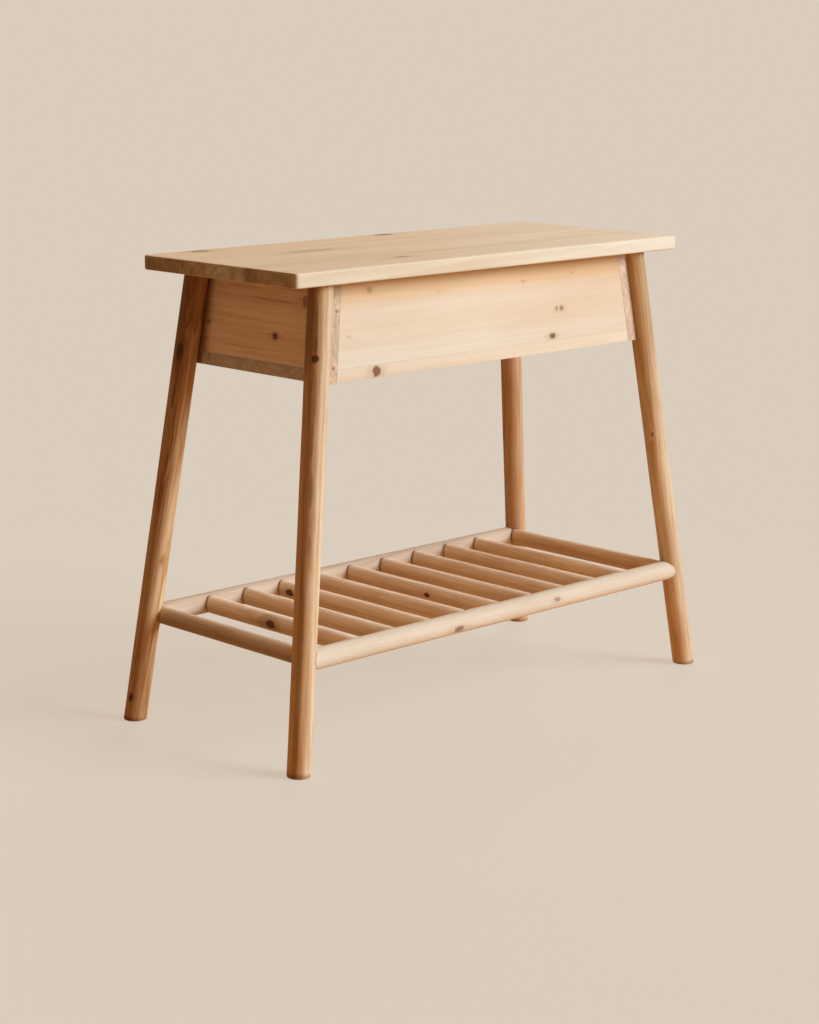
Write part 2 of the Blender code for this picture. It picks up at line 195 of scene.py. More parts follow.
# %% [markdown]
# Materials are built from nodes. A few short helpers let a finish be written as sums and products, which
# reads better than a page of node and link calls.

# %% Node helpers
READ_AS_NUMBER = ("LENGTH", "DOT_PRODUCT")


class Nodes:
    """Adds nodes to one tree and joins them."""

    def __init__(self, tree):
        self.tree = tree

    def feed(self, socket, value):
        if isinstance(value, bpy.types.NodeSocket):
            self.tree.links.new(value, socket)
        elif socket.type == "RGBA" and len(value) == 3:
            socket.default_value = (*value, 1.0)
        else:
            socket.default_value = value

    def add(self, kind, inputs, **settings):
        node = self.tree.nodes.new(kind)
        for key, value in settings.items():
            setattr(node, key, value)
        for key, value in inputs.items():
            self.feed(node.inputs[key], value)
        return node

    def math(self, operation, *values):
        return self.add("ShaderNodeMath", dict(enumerate(values)), operation=operation).outputs[0]

    def vector(self, operation, *values):
        node = self.add("ShaderNodeVectorMath", dict(enumerate(values)), operation=operation)
        return node.outputs["Value" if operation in READ_AS_NUMBER else "Vector"]

    def part(self, vector, axis):
        return self.add("ShaderNodeSeparateXYZ", {0: vector}).outputs[axis]

    def noise(self, vector, scale, detail=2.0, output="Fac"):
        inputs = {"Vector": vector, "Scale": scale, "Detail": detail}
        return self.add("ShaderNodeTexNoise", inputs).outputs[output]

    def ease(self, value, low, high):
        inputs = {"Value": value, "From Min": low, "From Max": high}
        return self.add("ShaderNodeMapRange", inputs, interpolation_type="SMOOTHSTEP").outputs[0]

    def swing(self, value, middle, amount):
        return self.math("MULTIPLY", self.math("SUBTRACT", value, middle), amount)

    def blend(self, factor, first, second, mode="MIX"):
        node = self.add("ShaderNodeMix", {}, data_type="RGBA", blend_type=mode)
        for index, value in ((0, factor), (6, first), (7, second)):
            self.feed(node.inputs[index], value)
        return node.outputs[2]

    def shade(self, colour, factor):
        return self.add("ShaderNodeVectorMath", {0: colour, "Scale": factor}, operation="SCALE").outputs[0]

    def raise_surface(self, shader, height, strength, depth):
        bump = self.add("ShaderNodeBump", {"Height": height, "Strength": strength, "Distance": depth})
        self.feed(shader.inputs["Normal"], bump.outputs[0])


def new_material(name):
    """A material with its Principled shader and the node helper for its tree."""
    material = bpy.data.materials.new(name)
    material.use_nodes = True
    return material, Nodes(material.node_tree), material.node_tree.nodes["Principled BSDF"]


print("node helpers:", [name for name in vars(Nodes) if not name.startswith("_")])

# %% [markdown]
# The bench stands in a pale studio. A broad, low lamp at the front right lights its face, a warm ceiling
# lights its top, and the rest of the room is dim and warm, so the left end falls into a brown shade. A
# weak lamp far behind keeps the back from going dark in other views. It is kept out of glossy rays,
# because its mirror image would lie on the lid. Rays from the camera see a plain beige in place of the
# room.

# %% World and lamps
BACKDROP = (0.701, 0.610, 0.508)
FILL_ABOVE = (0.495, 0.276, 0.163)
FILL_BESIDE = (0.250, 0.140, 0.068)
CEILING_EDGE = (0.20, 0.90)


def seen_directly(nodes):
    """One for rays that come from the camera, a mirror or a glass, and nothing for the rest."""
    path = nodes.add("ShaderNodeLightPath", {}).outputs
    either = nodes.math("MAXIMUM", path["Is Camera Ray"], path["Is Glossy Ray"])
    return nodes.math("MAXIMUM", either, path["Is Transmission Ray"])


def add_lamp(name, azimuth, elevation, strength, colour, width):
    """A broad lamp that shines on the bench from one direction."""
    sun = bpy.data.lights.new(name, "SUN")
    sun.energy = strength
    sun.color = colour
    sun.angle = math.radians(width)
    lamp = add_object(name, sun)
    lamp.rotation_mode = "QUATERNION"
    lamp.rotation_quaternion = direction_to(azimuth, elevation).to_track_quat("Z", "Y")
    return lamp


world = bpy.data.worlds.new("studio")
bpy.context.scene.world = world
world.use_nodes = True
room = Nodes(world.node_tree)
height = room.part(room.add("ShaderNodeTexCoord", {}).outputs["Generated"], 2)
fill = room.blend(room.ease(height, *CEILING_EDGE), FILL_BESIDE, FILL_ABOVE)
fill_light = room.add("ShaderNodeBackground", {"Color": fill}).outputs[0]
backdrop_light = room.add("ShaderNodeBackground", {"Color": BACKDROP}).outputs[0]
seen = room.add("ShaderNodeMixShader", {0: seen_directly(room), 1: fill_light, 2: backdrop_light}).outputs[0]
room.feed(world.node_tree.nodes["World Output"].inputs["Surface"], seen)
front_lamp = {"azimuth": 34, "elevation": 24, "strength": 3.80, "colour": (0.79, 0.91, 1.0), "width": 36}
back_lamp = {"azimuth": 125, "elevation": 12, "strength": 1.6, "colour": (1.0, 0.93, 0.85), "width": 30}
add_lamp("front_lamp", **front_lamp)
add_lamp("back_lamp", **back_lamp).visible_glossy = False
bpy.context.scene.view_settings.view_transform = "Standard"

# %% [markdown]
# The floor is the same beige as the backdrop, so no horizon shows. A shadow catcher would have to be laid
# over the backdrop afterwards. So near the bench a share of what the camera sees is real diffuse light,
# which keeps a faint shadow under the legs, and the share fades further out. The light that the floor
# throws back up on the bench is warm, and strongest in front, where the lamp falls.

# %% Floor
FLOOR_HALF = 20.0
FLOOR_DROP = 0.0004
FLOOR_LIT = (0.84, 0.80, 0.72)
BOUNCE_NEAR = (0.900, 0.550, 0.260)
BOUNCE_FAR = (0.320, 0.180, 0.085)
BOUNCE_CENTRE = (0.35, -0.55, 0.0)
BOUNCE_FADE = (0.50, 1.60)
SHADOW_SHARE = 0.25
SHADOW_FADE = (0.45, 1.30)

corners = ((-1, -1), (1, -1), (1, 1), (-1, 1))
floor_mesh = bpy.data.meshes.new("studio_floor")
floor_corners = [(x * FLOOR_HALF, y * FLOOR_HALF, -FLOOR_DROP) for x, y in corners]
floor_mesh.from_pydata(floor_corners, [], [(0, 1, 2, 3)])
floor = add_object("studio_floor", floor_mesh)
floor_material, paint, unused_shader = new_material("studio_floor")
paint.tree.nodes.remove(unused_shader)
lit = paint.add("ShaderNodeBsdfDiffuse", {"Color": FLOOR_LIT}).outputs[0]
plain = paint.add("ShaderNodeEmission", {"Color": BACKDROP}).outputs[0]
spot = paint.add("ShaderNodeTexCoord", {}).outputs["Object"]
from_patch = paint.vector("LENGTH", paint.vector("SUBTRACT", spot, BOUNCE_CENTRE))
warm = paint.blend(paint.ease(from_patch, *BOUNCE_FADE), BOUNCE_NEAR, BOUNCE_FAR)
bounce = paint.add("ShaderNodeBsdfDiffuse", {"Color": warm}).outputs[0]
faded = paint.math("MULTIPLY", paint.ease(paint.vector("LENGTH", spot), *SHADOW_FADE), SHADOW_SHARE)
plain_share = paint.math("ADD", faded, 1.0 - SHADOW_SHARE)
shown = paint.add("ShaderNodeMixShader", {0: plain_share, 1: lit, 2: plain}).outputs[0]
either = paint.add("ShaderNodeMixShader", {0: seen_directly(paint), 1: bounce, 2: shown}).outputs[0]
paint.feed(paint.tree.nodes["Material Output"].inputs["Surface"], either)
floor_mesh.materials.append(floor_material)
print("floor", 2 * FLOOR_HALF, "m wide, shadow share", SHADOW_SHARE)

# %% [markdown]
# A knot is the foot of a branch: a dark core with a reddish rim, and the rings bend round it. A painted
# spot would fit one face only, so a knot is worked out in space, and all faces that cut it agree. One node
# group holds that recipe. It measures how far a point lies from the knot, in units of the knot's own
# reach, and hands back the core, the rim and a bulge that pushes the rings aside.

# %% Knots
CORE_EDGE = (0.6, 1.05)
RIM_EDGE = (0.7, 1.7)
RIM_STRETCH = (1, 1, 0.55)
RAGGED, RAGGED_SCALE = 0.7, 1.6


def make_group(name, inputs, outputs):
    """An empty node group: its tree, its helper, what it is given and what it hands back."""
    tree = bpy.data.node_groups.new(name, "ShaderNodeTree")
    for label, kind in inputs.items():
        tree.interface.new_socket(label, in_out="INPUT", socket_type="NodeSocket" + kind)
    for label in outputs:
        tree.interface.new_socket(label, in_out="OUTPUT", socket_type="NodeSocketFloat")
    nodes = Nodes(tree)
    return tree, nodes, nodes.add("NodeGroupInput", {}).outputs, nodes.add("NodeGroupOutput", {}).inputs


def knot_group():
    """Core, rim and bulge of one knot."""
    sockets = {"Place": "Vector", "Centre": "Vector", "Reach": "Vector", "Strength": "Float"}
    tree, nodes, given, result = make_group("knot", sockets, ("Core", "Rim", "Bulge"))
    away = nodes.vector("DIVIDE", nodes.vector("SUBTRACT", given["Place"], given["Centre"]), given["Reach"])
    ragged = nodes.swing(nodes.noise(away, RAGGED_SCALE, 3.0), 0.5, RAGGED)
    distance = nodes.math("ADD", nodes.vector("LENGTH", away), ragged)
    stretched = nodes.vector("LENGTH", nodes.vector("MULTIPLY", away, RIM_STRETCH))
    drawn_out = nodes.math("ADD", stretched, ragged)
    for label, reading, edge in (("Core", distance, CORE_EDGE), ("Rim", drawn_out, RIM_EDGE)):
        inside = nodes.math("SUBTRACT", 1.0, nodes.ease(reading, *edge))
        nodes.feed(result[label], nodes.math("MULTIPLY", inside, given["Strength"]))
    spread = nodes.math("ADD", 1.0, nodes.math("MULTIPLY", distance, distance))
    nodes.feed(result["Bulge"], nodes.math("DIVIDE", 1.0, spread))
    return tree


KNOT = knot_group()
print("knot group nodes:", len(KNOT.nodes))

# %% [markdown]
# Pine grows a pale band in spring and a thin dark one in summer, so a board cut from it shows rings: lines
# along its length, arches where the cut leaves the ring, and arcs on its ends. A Wave Texture node draws
# even rings. Here they are counted from a pith that lies off to one side, because then they can wander,
# lean along the board and bend at knots, and no two are equally wide or dark.

# %% Growth rings
RING_GAP = 0.0046
RING_WANDER = (0.010, 0.010, 0.0)
RING_SLOW = (1.0, 1.0, 0.10)
WANDER_SCALE = 16.0
UNEVEN_GAPS, UNEVEN_SCALE = 2.2, 0.45
KNOT_PUSH = 1.6
SUMMER_EDGE = (0.10, 0.86)
WINTER_EDGE = (0.86, 1.0)
YEAR_LEAST, YEAR_SPREAD = 0.45, 0.75
HALF_GREY = (0.5, 0.5, 0.5)


def ring_group():
    """How dark the summer wood is at a place, from nothing to one."""
    sockets = {"Place": "Vector", "Pith": "Vector", "Lean": "Float", "Bulge": "Float"}
    tree, nodes, given, result = make_group("growth_rings", sockets, ("Ring",))
    slow = nodes.noise(nodes.vector("MULTIPLY", given["Place"], RING_SLOW), WANDER_SCALE, 2.0, "Color")
    wander = nodes.vector("SUBTRACT", slow, HALF_GREY)
    bent = nodes.vector("ADD", given["Place"], nodes.vector("MULTIPLY", wander, RING_WANDER))
    lean = nodes.math("MULTIPLY", nodes.part(bent, 2), given["Lean"])
    leaning = nodes.add("ShaderNodeCombineXYZ", {0: lean}).outputs[0]
    from_pith = nodes.vector("ADD", nodes.vector("SUBTRACT", bent, given["Pith"]), leaning)
    flat = nodes.vector("MULTIPLY", from_pith, (1.0, 1.0, 0.0))
    count = nodes.math("DIVIDE", nodes.vector("LENGTH", flat), RING_GAP)
    uneven = nodes.add("ShaderNodeTexNoise", {"W": count, "Scale": UNEVEN_SCALE}, noise_dimensions="1D")
    count = nodes.math("ADD", count, nodes.math("MULTIPLY", uneven.outputs["Fac"], UNEVEN_GAPS))
    count = nodes.math("ADD", count, nodes.math("MULTIPLY", given["Bulge"], KNOT_PUSH))
    phase = nodes.math("FRACT", count)
    late = nodes.math("SUBTRACT", 1.0, nodes.ease(phase, *WINTER_EDGE))
    ring = nodes.math("MULTIPLY", nodes.ease(phase, *SUMMER_EDGE), late)
    year = nodes.add("ShaderNodeTexWhiteNoise", {"W": nodes.math("FLOOR", count)}, noise_dimensions="1D")
    weight = nodes.math("ADD", YEAR_LEAST, nodes.math("MULTIPLY", year.outputs["Value"], YEAR_SPREAD))
    nodes.feed(result["Ring"], nodes.math("MULTIPLY", ring, weight))
    return tree


RINGS = ring_group()
print("ring group nodes:", len(RINGS.nodes))

# %% [markdown]
# The figure of wood follows its grain, so each piece has a grain frame, whose Z runs along the grain and
# whose Y points out of the face that one sees. A Mapping node takes places into that frame. An unwrapped
# mesh could give such places too, but the figure would break at each edge, and here it runs on round the
# corner.

# %% Grain frames
def grain_frame(origin, along, outward):
    """A frame at a point, with Z along the grain and Y out of the face that one sees."""
    z_axis = Vector(along).normalized()
    y_axis = Vector(outward)
    y_axis = (y_axis - z_axis * y_axis.dot(z_axis)).normalized()
    turn = Matrix((y_axis.cross(z_axis), y_axis, z_axis)).transposed().to_4x4()
    return Matrix.Translation(Vector(origin)) @ turn


def local(grain, point):
    """A place on the bench, as coordinates in a grain frame."""
    return tuple(grain.inverted() @ Vector(point))


print("a board along X has its width along", list(grain_frame((0, 0, 0), (1, 0, 0), (0, 0, 1)).col[0])[:3])

# %% [markdown]
# Strips that are glued side by side get their own rings and tints. A tone is a tint that comes in from one
# place to another: across the grain, along it or away from a point. Some tones are the wood's own, and
# others hold part of the shade that the photograph shows in a corner or under a bar, because the few lamps
# here don't give all of it.

# %% Strips, tones and knots of a piece
PLAIN = (1.0, 1.0, 1.0)
# Darker ends, partly the oil that end grain drinks and partly painted shade.
END_GRAIN = (0.74, 0.74, 0.74)
ONE_BOARD = ((-1.0, PLAIN, END_GRAIN),)
ACROSS, LENGTHWISE = 0, 2
FLAT = (1.0, 0.0, 1.0)


def strip_tints(nodes, place, seed, strips):
    """Number and tints of the strip at a place; a strip has its lowest X and tints for face and end."""
    across = nodes.part(place, ACROSS)
    number = float(seed)
    face_tint, end_tint = strips[0][1:]
    for start, face, end in strips[1:]:
        past = nodes.math("GREATER_THAN", across, start)
        number = nodes.math("ADD", number, past)
        face_tint = nodes.blend(past, face_tint, face)
        end_tint = nodes.blend(past, end_tint, end)
    return number, face_tint, end_tint


def add_tones(nodes, place, face_tint, tones):
    """A face's tint with its tones; a tone has what it follows, where it starts and ends, and its tint."""
    for measure, start, end, tint in tones:
        if measure in (ACROSS, LENGTHWISE):
            reading = nodes.part(place, measure)
        else:
            away = nodes.vector("SUBTRACT", place, measure)
            reading = nodes.vector("LENGTH", nodes.vector("MULTIPLY", away, FLAT))
        toned = nodes.blend(1.0, face_tint, tint, "MULTIPLY")
        face_tint = nodes.blend(nodes.ease(reading, start, end), face_tint, toned)
    return face_tint


def knot_marks(nodes, place, knots):
    """Core, rim and bulge of a piece's knots, each given by its centre, its reach and its strength."""
    core, rim, bulge = 0.0, 0.0, 0.0
    for knot_values in knots:
        knot = nodes.add("ShaderNodeGroup", {}, node_tree=KNOT)
        for label, value in zip(("Place", "Centre", "Reach", "Strength"), (place, *knot_values)):
            nodes.feed(knot.inputs[label], value)
        core = nodes.math("MAXIMUM", core, knot.outputs["Core"])
        rim = nodes.math("MAXIMUM", rim, knot.outputs["Rim"])
        bulge = nodes.math("ADD", bulge, knot.outputs["Bulge"])
    return core, rim, bulge


print("one board takes the tints", ONE_BOARD[0][1:])

# %% [markdown]
# Where a board is sawn across the grain it drinks more oil, so the end is darker, and its end tint also
# holds some painted shade. It shows pores, blotches and wide arcs, because the cut goes straight through
# the rings. Along the grain the rings, streaks, fibres and clouds add up to how dark the wood is, and that
# share blends a pale colour with a dark one.

# %% End grain and long grain
BLOTCH_SCALE, PORE_SCALE, PORE_AMOUNT = 70.0, 260.0, 0.4
END_LEVEL = 1.015
END_RINGS = -0.14
END_SCALE = 0.5
STREAK_STRETCH, STREAK_SCALE = 0.022, 150.0
FIBRE_STRETCH, FIBRE_SCALE = 0.03, 900.0
CLOUD_STRETCH, CLOUD_SCALE = 0.22, 22.0


def end_grain(nodes, spot, pale, tint, pith, mottle):
    """Colour of a face that is sawn across the grain."""
    blotch = nodes.swing(nodes.noise(spot, BLOTCH_SCALE, 2.0), 0.5, mottle)
    pores = nodes.swing(nodes.noise(spot, PORE_SCALE, 3.0), 0.5, PORE_AMOUNT)
    rings = nodes.add("ShaderNodeGroup", {}, node_tree=RINGS)
    nodes.feed(rings.inputs["Place"], nodes.vector("MULTIPLY", spot, [END_SCALE] * 3))
    nodes.feed(rings.inputs["Pith"], (pith[0] * END_SCALE, pith[1] * END_SCALE, 0.0))
    arcs = nodes.math("MULTIPLY", rings.outputs["Ring"], END_RINGS)
    marks = nodes.math("ADD", nodes.math("ADD", blotch, pores), arcs)
    cut = nodes.shade(pale, nodes.math("ADD", END_LEVEL, marks))
    return nodes.blend(1.0, cut, tint, "MULTIPLY")


def long_grain(nodes, spot, figure):
    """Streaks, fibres and clouds drawn out along the grain."""

    def drawn_out(stretch, scale, detail):
        return nodes.noise(nodes.vector("MULTIPLY", spot, (1.0, 1.0, stretch)), scale, detail)

    streak = drawn_out(STREAK_STRETCH * figure, STREAK_SCALE * figure, 3.0)
    fibre = drawn_out(FIBRE_STRETCH, FIBRE_SCALE, 2.0)
    cloud = drawn_out(CLOUD_STRETCH, CLOUD_SCALE * figure, 2.0)
    return streak, fibre, cloud


print("wide rings on sawn ends:", round(RING_GAP / END_SCALE, 4), "m apart")

# %% [markdown]
# One recipe serves every board and bar: it puts the figure, the strips, the tones and the knots together.
# The alternative is a material by hand for each piece, and then over twenty would have to be kept alike.
# The oiled wood is rather dull, and smoother on its knots. A slight bump lets the fibres catch the light.

# %% Pine finish
KNOT_CORE = (0.200, 0.080, 0.034)
DARK_CORE = (0.090, 0.028, 0.011)
KNOT_RIM = (0.40, 0.190, 0.070)
CORE_SHARE, RIM_SHARE = 0.96, 0.25
END_EDGE = (0.55, 0.85)
PINE_ROUGHNESS, STREAK_ROUGHNESS, CORE_SMOOTHNESS = 0.66, 0.14, 0.12
PINE_SPECULAR = 0.12
RING_RELIEF, FIBRE_RELIEF = 0.5, 0.6
RELIEF_STRENGTH, RELIEF_DEPTH = 0.12, 0.0004
BRIGHT_LEAST, BRIGHT_SPREAD = 0.97, 0.06
BOARD_SHIFT = (0.060, 0.018, 4.0)


def pine(
    name, grain, pale, dark, seed, knots=(), strips=ONE_BOARD, tones=(), pith=(0.012, -0.055),
    lean=0.014, contrast=1.0, figure=1.0, lines=0.45, mottle=0.7, core_colour=KNOT_CORE,
):
    """Pine for one piece, in its own grain frame."""
    material, nodes, shader = new_material(name)
    coordinates = nodes.add("ShaderNodeTexCoord", {}).outputs
    into_grain = {"Location": grain.translation, "Rotation": grain.to_euler()}
    into_grain["Vector"] = coordinates["Object"]
    place = nodes.add("ShaderNodeMapping", into_grain, vector_type="TEXTURE").outputs[0]
    number, face_tint, end_tint = strip_tints(nodes, place, seed, strips)
    face_tint = add_tones(nodes, place, face_tint, tones)
    chance = nodes.add("ShaderNodeTexWhiteNoise", {"W": number}, noise_dimensions="1D").outputs["Color"]
    shift = nodes.vector("MULTIPLY", nodes.vector("SUBTRACT", chance, HALF_GREY), BOARD_SHIFT)
    spot = nodes.vector("ADD", place, shift)

    core, rim, bulge = knot_marks(nodes, place, knots)
    rings = nodes.add("ShaderNodeGroup", {}, node_tree=RINGS)
    for label, value in (("Place", spot), ("Pith", (*pith, 0.0)), ("Lean", lean), ("Bulge", bulge)):
        nodes.feed(rings.inputs[label], value)
    ring = rings.outputs["Ring"]
    streak, fibre, cloud = long_grain(nodes, spot, figure)
    dark_share = nodes.math("MULTIPLY", ring, lines * contrast)
    for pattern, middle, amount in ((streak, 0.42, 1.1), (fibre, 0.5, 0.5), (cloud, 0.42, 1.0)):
        dark_share = nodes.math("ADD", dark_share, nodes.swing(pattern, middle, amount * contrast))
    dark_share = nodes.math("MINIMUM", nodes.math("MAXIMUM", dark_share, 0.0), 1.0)
    colour = nodes.blend(dark_share, pale, dark)
    colour = nodes.blend(1.0, colour, face_tint, "MULTIPLY")
    brightness = nodes.math("MULTIPLY", nodes.part(chance, 0), BRIGHT_SPREAD)
    colour = nodes.shade(colour, nodes.math("ADD", BRIGHT_LEAST, brightness))

    facing = nodes.vector("DOT_PRODUCT", coordinates["Normal"], grain.col[2].to_3d())
    end_share = nodes.ease(nodes.math("ABSOLUTE", facing), *END_EDGE)
    colour = nodes.blend(end_share, colour, end_grain(nodes, spot, pale, end_tint, pith, mottle))
    colour = nodes.blend(nodes.math("MULTIPLY", rim, RIM_SHARE), colour, KNOT_RIM)
    colour = nodes.blend(nodes.math("MULTIPLY", core, CORE_SHARE), colour, core_colour)
    nodes.feed(shader.inputs["Base Color"], colour)

    rough = nodes.math("ADD", PINE_ROUGHNESS, nodes.math("MULTIPLY", streak, STREAK_ROUGHNESS))
    rough = nodes.math("SUBTRACT", rough, nodes.math("MULTIPLY", core, CORE_SMOOTHNESS))
    nodes.feed(shader.inputs["Roughness"], rough)
    shader.inputs["Specular IOR Level"].default_value = PINE_SPECULAR
    raised_ring = nodes.math("MULTIPLY", ring, RING_RELIEF)
    height = nodes.math("ADD", raised_ring, nodes.math("MULTIPLY", fibre, FIBRE_RELIEF))
    nodes.raise_surface(shader, height, RELIEF_STRENGTH, RELIEF_DEPTH)
    return material


print("pine roughness", PINE_ROUGHNESS, "and up to", STREAK_ROUGHNESS, "more on its streaks")

# %% [markdown]
# Every shape is drawn in the bench's own metres, so its object keeps a plain matrix and nothing can shift.
# One helper turns a drawn shape into an object, gives it its finish, hides the CAD node it stands for
# and lets it ride on that node's body. Another joins a row of matching outlines, which is how most pieces
# here are made.

# %% Placing a piece
SHARP_ANGLE = math.radians(35)


def drawn_mesh(name, shape):
    """The mesh of a drawn shape, with its faces turned outward."""
    bmesh.ops.recalc_face_normals(shape, faces=shape.faces)
    mesh = bpy.data.meshes.new(name)
    shape.to_mesh(mesh)
    shape.free()
    return mesh


def place_piece(name, shape, material, body, node):
    """Turn a drawn shape into an object that rides on a body and stands in for a CAD node."""
    mesh = drawn_mesh(name, shape)
    mesh.shade_smooth()
    mesh.set_sharp_from_angle(angle=SHARP_ANGLE)
    mesh.materials.append(material)
    piece = add_object(name, mesh)
    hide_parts(node)
    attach(piece, body)
    return piece


def bridge(shape, lower, upper):
    """Faces between two matching rings of points."""
    for i in range(len(lower)):
        j = (i + 1) % len(lower)
        shape.faces.new((lower[i], lower[j], upper[j], upper[i]))


def loft(shape, loops):
    """Join a row of matching point loops and close both ends."""
    rings = [[shape.verts.new(point) for point in loop] for loop in loops]
    for lower, upper in zip(rings, rings[1:]):
        bridge(shape, lower, upper)
    shape.faces.new(rings[0])
    shape.faces.new(list(reversed(rings[-1])))


def full_circle(count):
    """Angles of evenly spaced points round a circle."""
    return [2 * math.pi * i / count for i in range(count)]


def arc_steps(count):
    """Sine and cosine along a quarter circle."""
    angles = [math.pi / 2 * step / count for step in range(count + 1)]
    return [(math.sin(angle), math.cos(angle)) for angle in angles]


print("quarter circle in four steps:", [round(sine, 3) for sine, cosine in arc_steps(4)])

# %% [markdown]
# The lid is a board glued up from five strips, planed flat and then rounded over by a small router bit
# along its edges and at its corners. A Bevel modifier on a box would give edges and corners one radius.
# Here the lid is a stack of rounded rectangles, whose outline steps in along a quarter circle at the top
# and the bottom, so the corners can be rounder than the edges.

# %% Lid shape
LID_CORNER = 0.006
LID_EDGE = 0.0025
ARC_COUNT = 6


def rounded_outline(low, high, inset, z):
    """Points of a rectangle with round corners, moved in by an inset."""
    points = []
    bend = LID_CORNER - inset
    for x, y, quarter in ((high.x, high.y, 0), (low.x, high.y, 1), (low.x, low.y, 2), (high.x, low.y, 3)):
        centre = Vector((x - math.copysign(LID_CORNER, x), y - math.copysign(LID_CORNER, y), z))
        for step in range(ARC_COUNT + 1):
            angle = math.pi / 2 * (quarter + step / ARC_COUNT)
            points.append(centre + Vector((math.cos(angle), math.sin(angle), 0)) * bend)
    return points


lid_shape = bmesh.new()
lid_levels = [(1 - sine, lid_low.z + LID_EDGE * (1 - cosine)) for sine, cosine in arc_steps(ARC_COUNT)]
lid_levels += [(1 - cosine, lid_high.z - LID_EDGE * (1 - sine)) for sine, cosine in arc_steps(ARC_COUNT)]
loft(lid_shape, [rounded_outline(lid_low, lid_high, LID_EDGE * share, z) for share, z in lid_levels])
print("lid outline levels:", len(lid_levels), "points:", len(lid_shape.verts))

# %% [markdown]
# A board that is glued up from strips changes its tone a little at each glue line, and far more on its
# sawn end. So each strip has one tint for its face and one for its end. The top grows warmer toward the
# left. A knot is given by its place on the top, its width and length and its strength, and all of them are
# soft.

# %% Lid finish
LID_PALE, LID_DARK = (0.816, 0.737, 0.578), (0.59, 0.40, 0.22)
# Each strip's start across the lid, face tint and end tint; the end tints hold some painted shade.
LID_STRIPS = (
    (-1.000, PLAIN, (0.58, 0.465, 0.335)),
    (-0.077, (0.97, 0.96, 0.94), (0.49, 0.358, 0.245)),
    (-0.051, PLAIN, (0.66, 0.632, 0.50)),
    (0.023, (1.0, 0.98, 0.96), (0.57, 0.462, 0.345)),
    (0.077, (0.97, 0.95, 0.92), (0.49, 0.38, 0.25)),
)
LID_KNOTS = (
    ((-0.276, 0.138), (0.014, 0.016), 0.65),
    ((0.060, 0.143), (0.013, 0.018), 0.65),
    ((-0.172, 0.044), (0.013, 0.050), 0.30),
    ((-0.140, 0.040), (0.006, 0.014), 0.35),
    ((-0.128, -0.092), (0.008, 0.017), 0.50),
)
LID_TONES = (
    (LENGTHWISE, 0.22, -0.10, (0.96, 0.92, 0.86)),
    (ACROSS, -0.1430, -0.1465, (0.99, 1.00, 1.02)),
)
KNOT_DEPTH = 0.012
lid_grain = grain_frame((0, 0, lid_high.z), (1, 0, 0), (0, 0, 1))
lid_knots = [
    (local(lid_grain, (x, y, lid_high.z)), (wide, KNOT_DEPTH, long), strength)
    for (x, y), (wide, long), strength in LID_KNOTS
]
lid_pine = pine(
    "lid_pine", lid_grain, LID_PALE, LID_DARK, 11, lid_knots, LID_STRIPS, LID_TONES,
    pith=(0.0, -0.05), contrast=0.5, mottle=1.2,
)
lid = place_piece("lid_board", lid_shape, lid_pine, "lid", "lid_top")
print("lid", len(lid.data.vertices), "points,", len(LID_STRIPS), "strips,", len(lid_knots), "knots")

# %% [markdown]
# The box is four panels that lean with the legs and stand on a bottom board. The front panel sits between
# the end panels, whose ends show as narrow strips. Cubes could be sheared into shape, but boards that are
# drawn from their corners meet exactly, because the corners come from the slopes above. Their edges are
# eased by less than a millimetre, as a few strokes of sandpaper leave them. The eased edges and the small
# clearance make the thin dark lines where boards meet.

# %% Box shapes
EASE = 0.00025
SEAM = 0.0001
EASE_FROM = math.radians(20)


def eased_board(loops):
    """A flat board from two matching outlines, with its outer edges eased."""
    shape = bmesh.new()
    loft(shape, loops)
    bmesh.ops.recalc_face_normals(shape, faces=shape.faces)
    outer = [edge for edge in shape.edges if edge.calc_face_angle_signed() > EASE_FROM]
    bmesh.ops.bevel(shape, geom=outer, offset=EASE, segments=3, profile=0.5, affect="EDGES")
    return shape


def wide_panel(face):
    """Front panel for -1, back panel for 1."""
    loops = []
    for z in (BOARD_TOP + SEAM, BOX_TOP):
        x = end_inside_x(z) - GAP / SIDE_COS
        outer, inner = face * front_face_y(z), face * front_inside_y(z)
        outline = ((-x, outer), (x, outer), (x, inner), (-x, inner))
        loops.append([Vector((*corner, z)) for corner in outline])
    return eased_board(loops)


def end_panel(side):
    """Left end panel for -1, right end panel for 1."""
    seat = BOARD_TOP + GAP
    low_edge = [(front_face_y, -1, BOX_BOTTOM), (ear_y, -1, BOX_BOTTOM), (ear_y, -1, seat)]
    low_edge += [(edge_y, 1, z) for edge_y, sign, z in reversed(low_edge)]
    outline = low_edge + [(front_face_y, 1, BOX_TOP), (front_face_y, -1, BOX_TOP)]
    return eased_board([
        [Vector((side * face_x(z), sign * edge_y(z), z)) for edge_y, sign, z in outline]
        for face_x in (end_inside_x, end_face_x)
    ])


def bottom_board():
    """The board that closes the box below, notched at its corners."""
    loops = []
    for z in (BOX_BOTTOM, BOARD_TOP):
        far_x, near_x = end_face_x(z), end_inside_x(z) - GAP / SIDE_COS
        far_y, near_y = front_face_y(z), ear_y(z) - GAP / DEPTH_COS
        notch = ((near_x, far_y), (near_x, near_y), (far_x, near_y))
        ring = []
        for sx, sy in ((1, -1), (1, 1), (-1, 1), (-1, -1)):
            corner = [Vector((sx * x, sy * y, z)) for x, y in notch]
            ring.extend(corner if sx * sy < 0 else reversed(corner))
        loops.append(ring)
    return eased_board(loops)


print("box from", round(BOX_BOTTOM, 4), "to", round(BOX_TOP, 4), "edges eased by", EASE)

# %% [markdown]
# The panels are pale wood with a quiet grain. The front shows three clear knots at its right and a few
# faint ones, and the left end one clear knot. Each end panel is glued up from two boards of different
# tint. A knot's place is given on the face where it shows, with its height, its width and its strength,
# and it reaches far into the wood, because a branch runs through the board.

# %% Panel faces
MIDDLE = (BOX_BOTTOM + BOX_TOP) / 2


def on_front(x, z):
    """A point of the front panel's face."""
    return (x, -front_face_y(z), z)


def on_left(y, z):
    """A point of the left end panel's face."""
    return (-end_face_x(z), y, z)


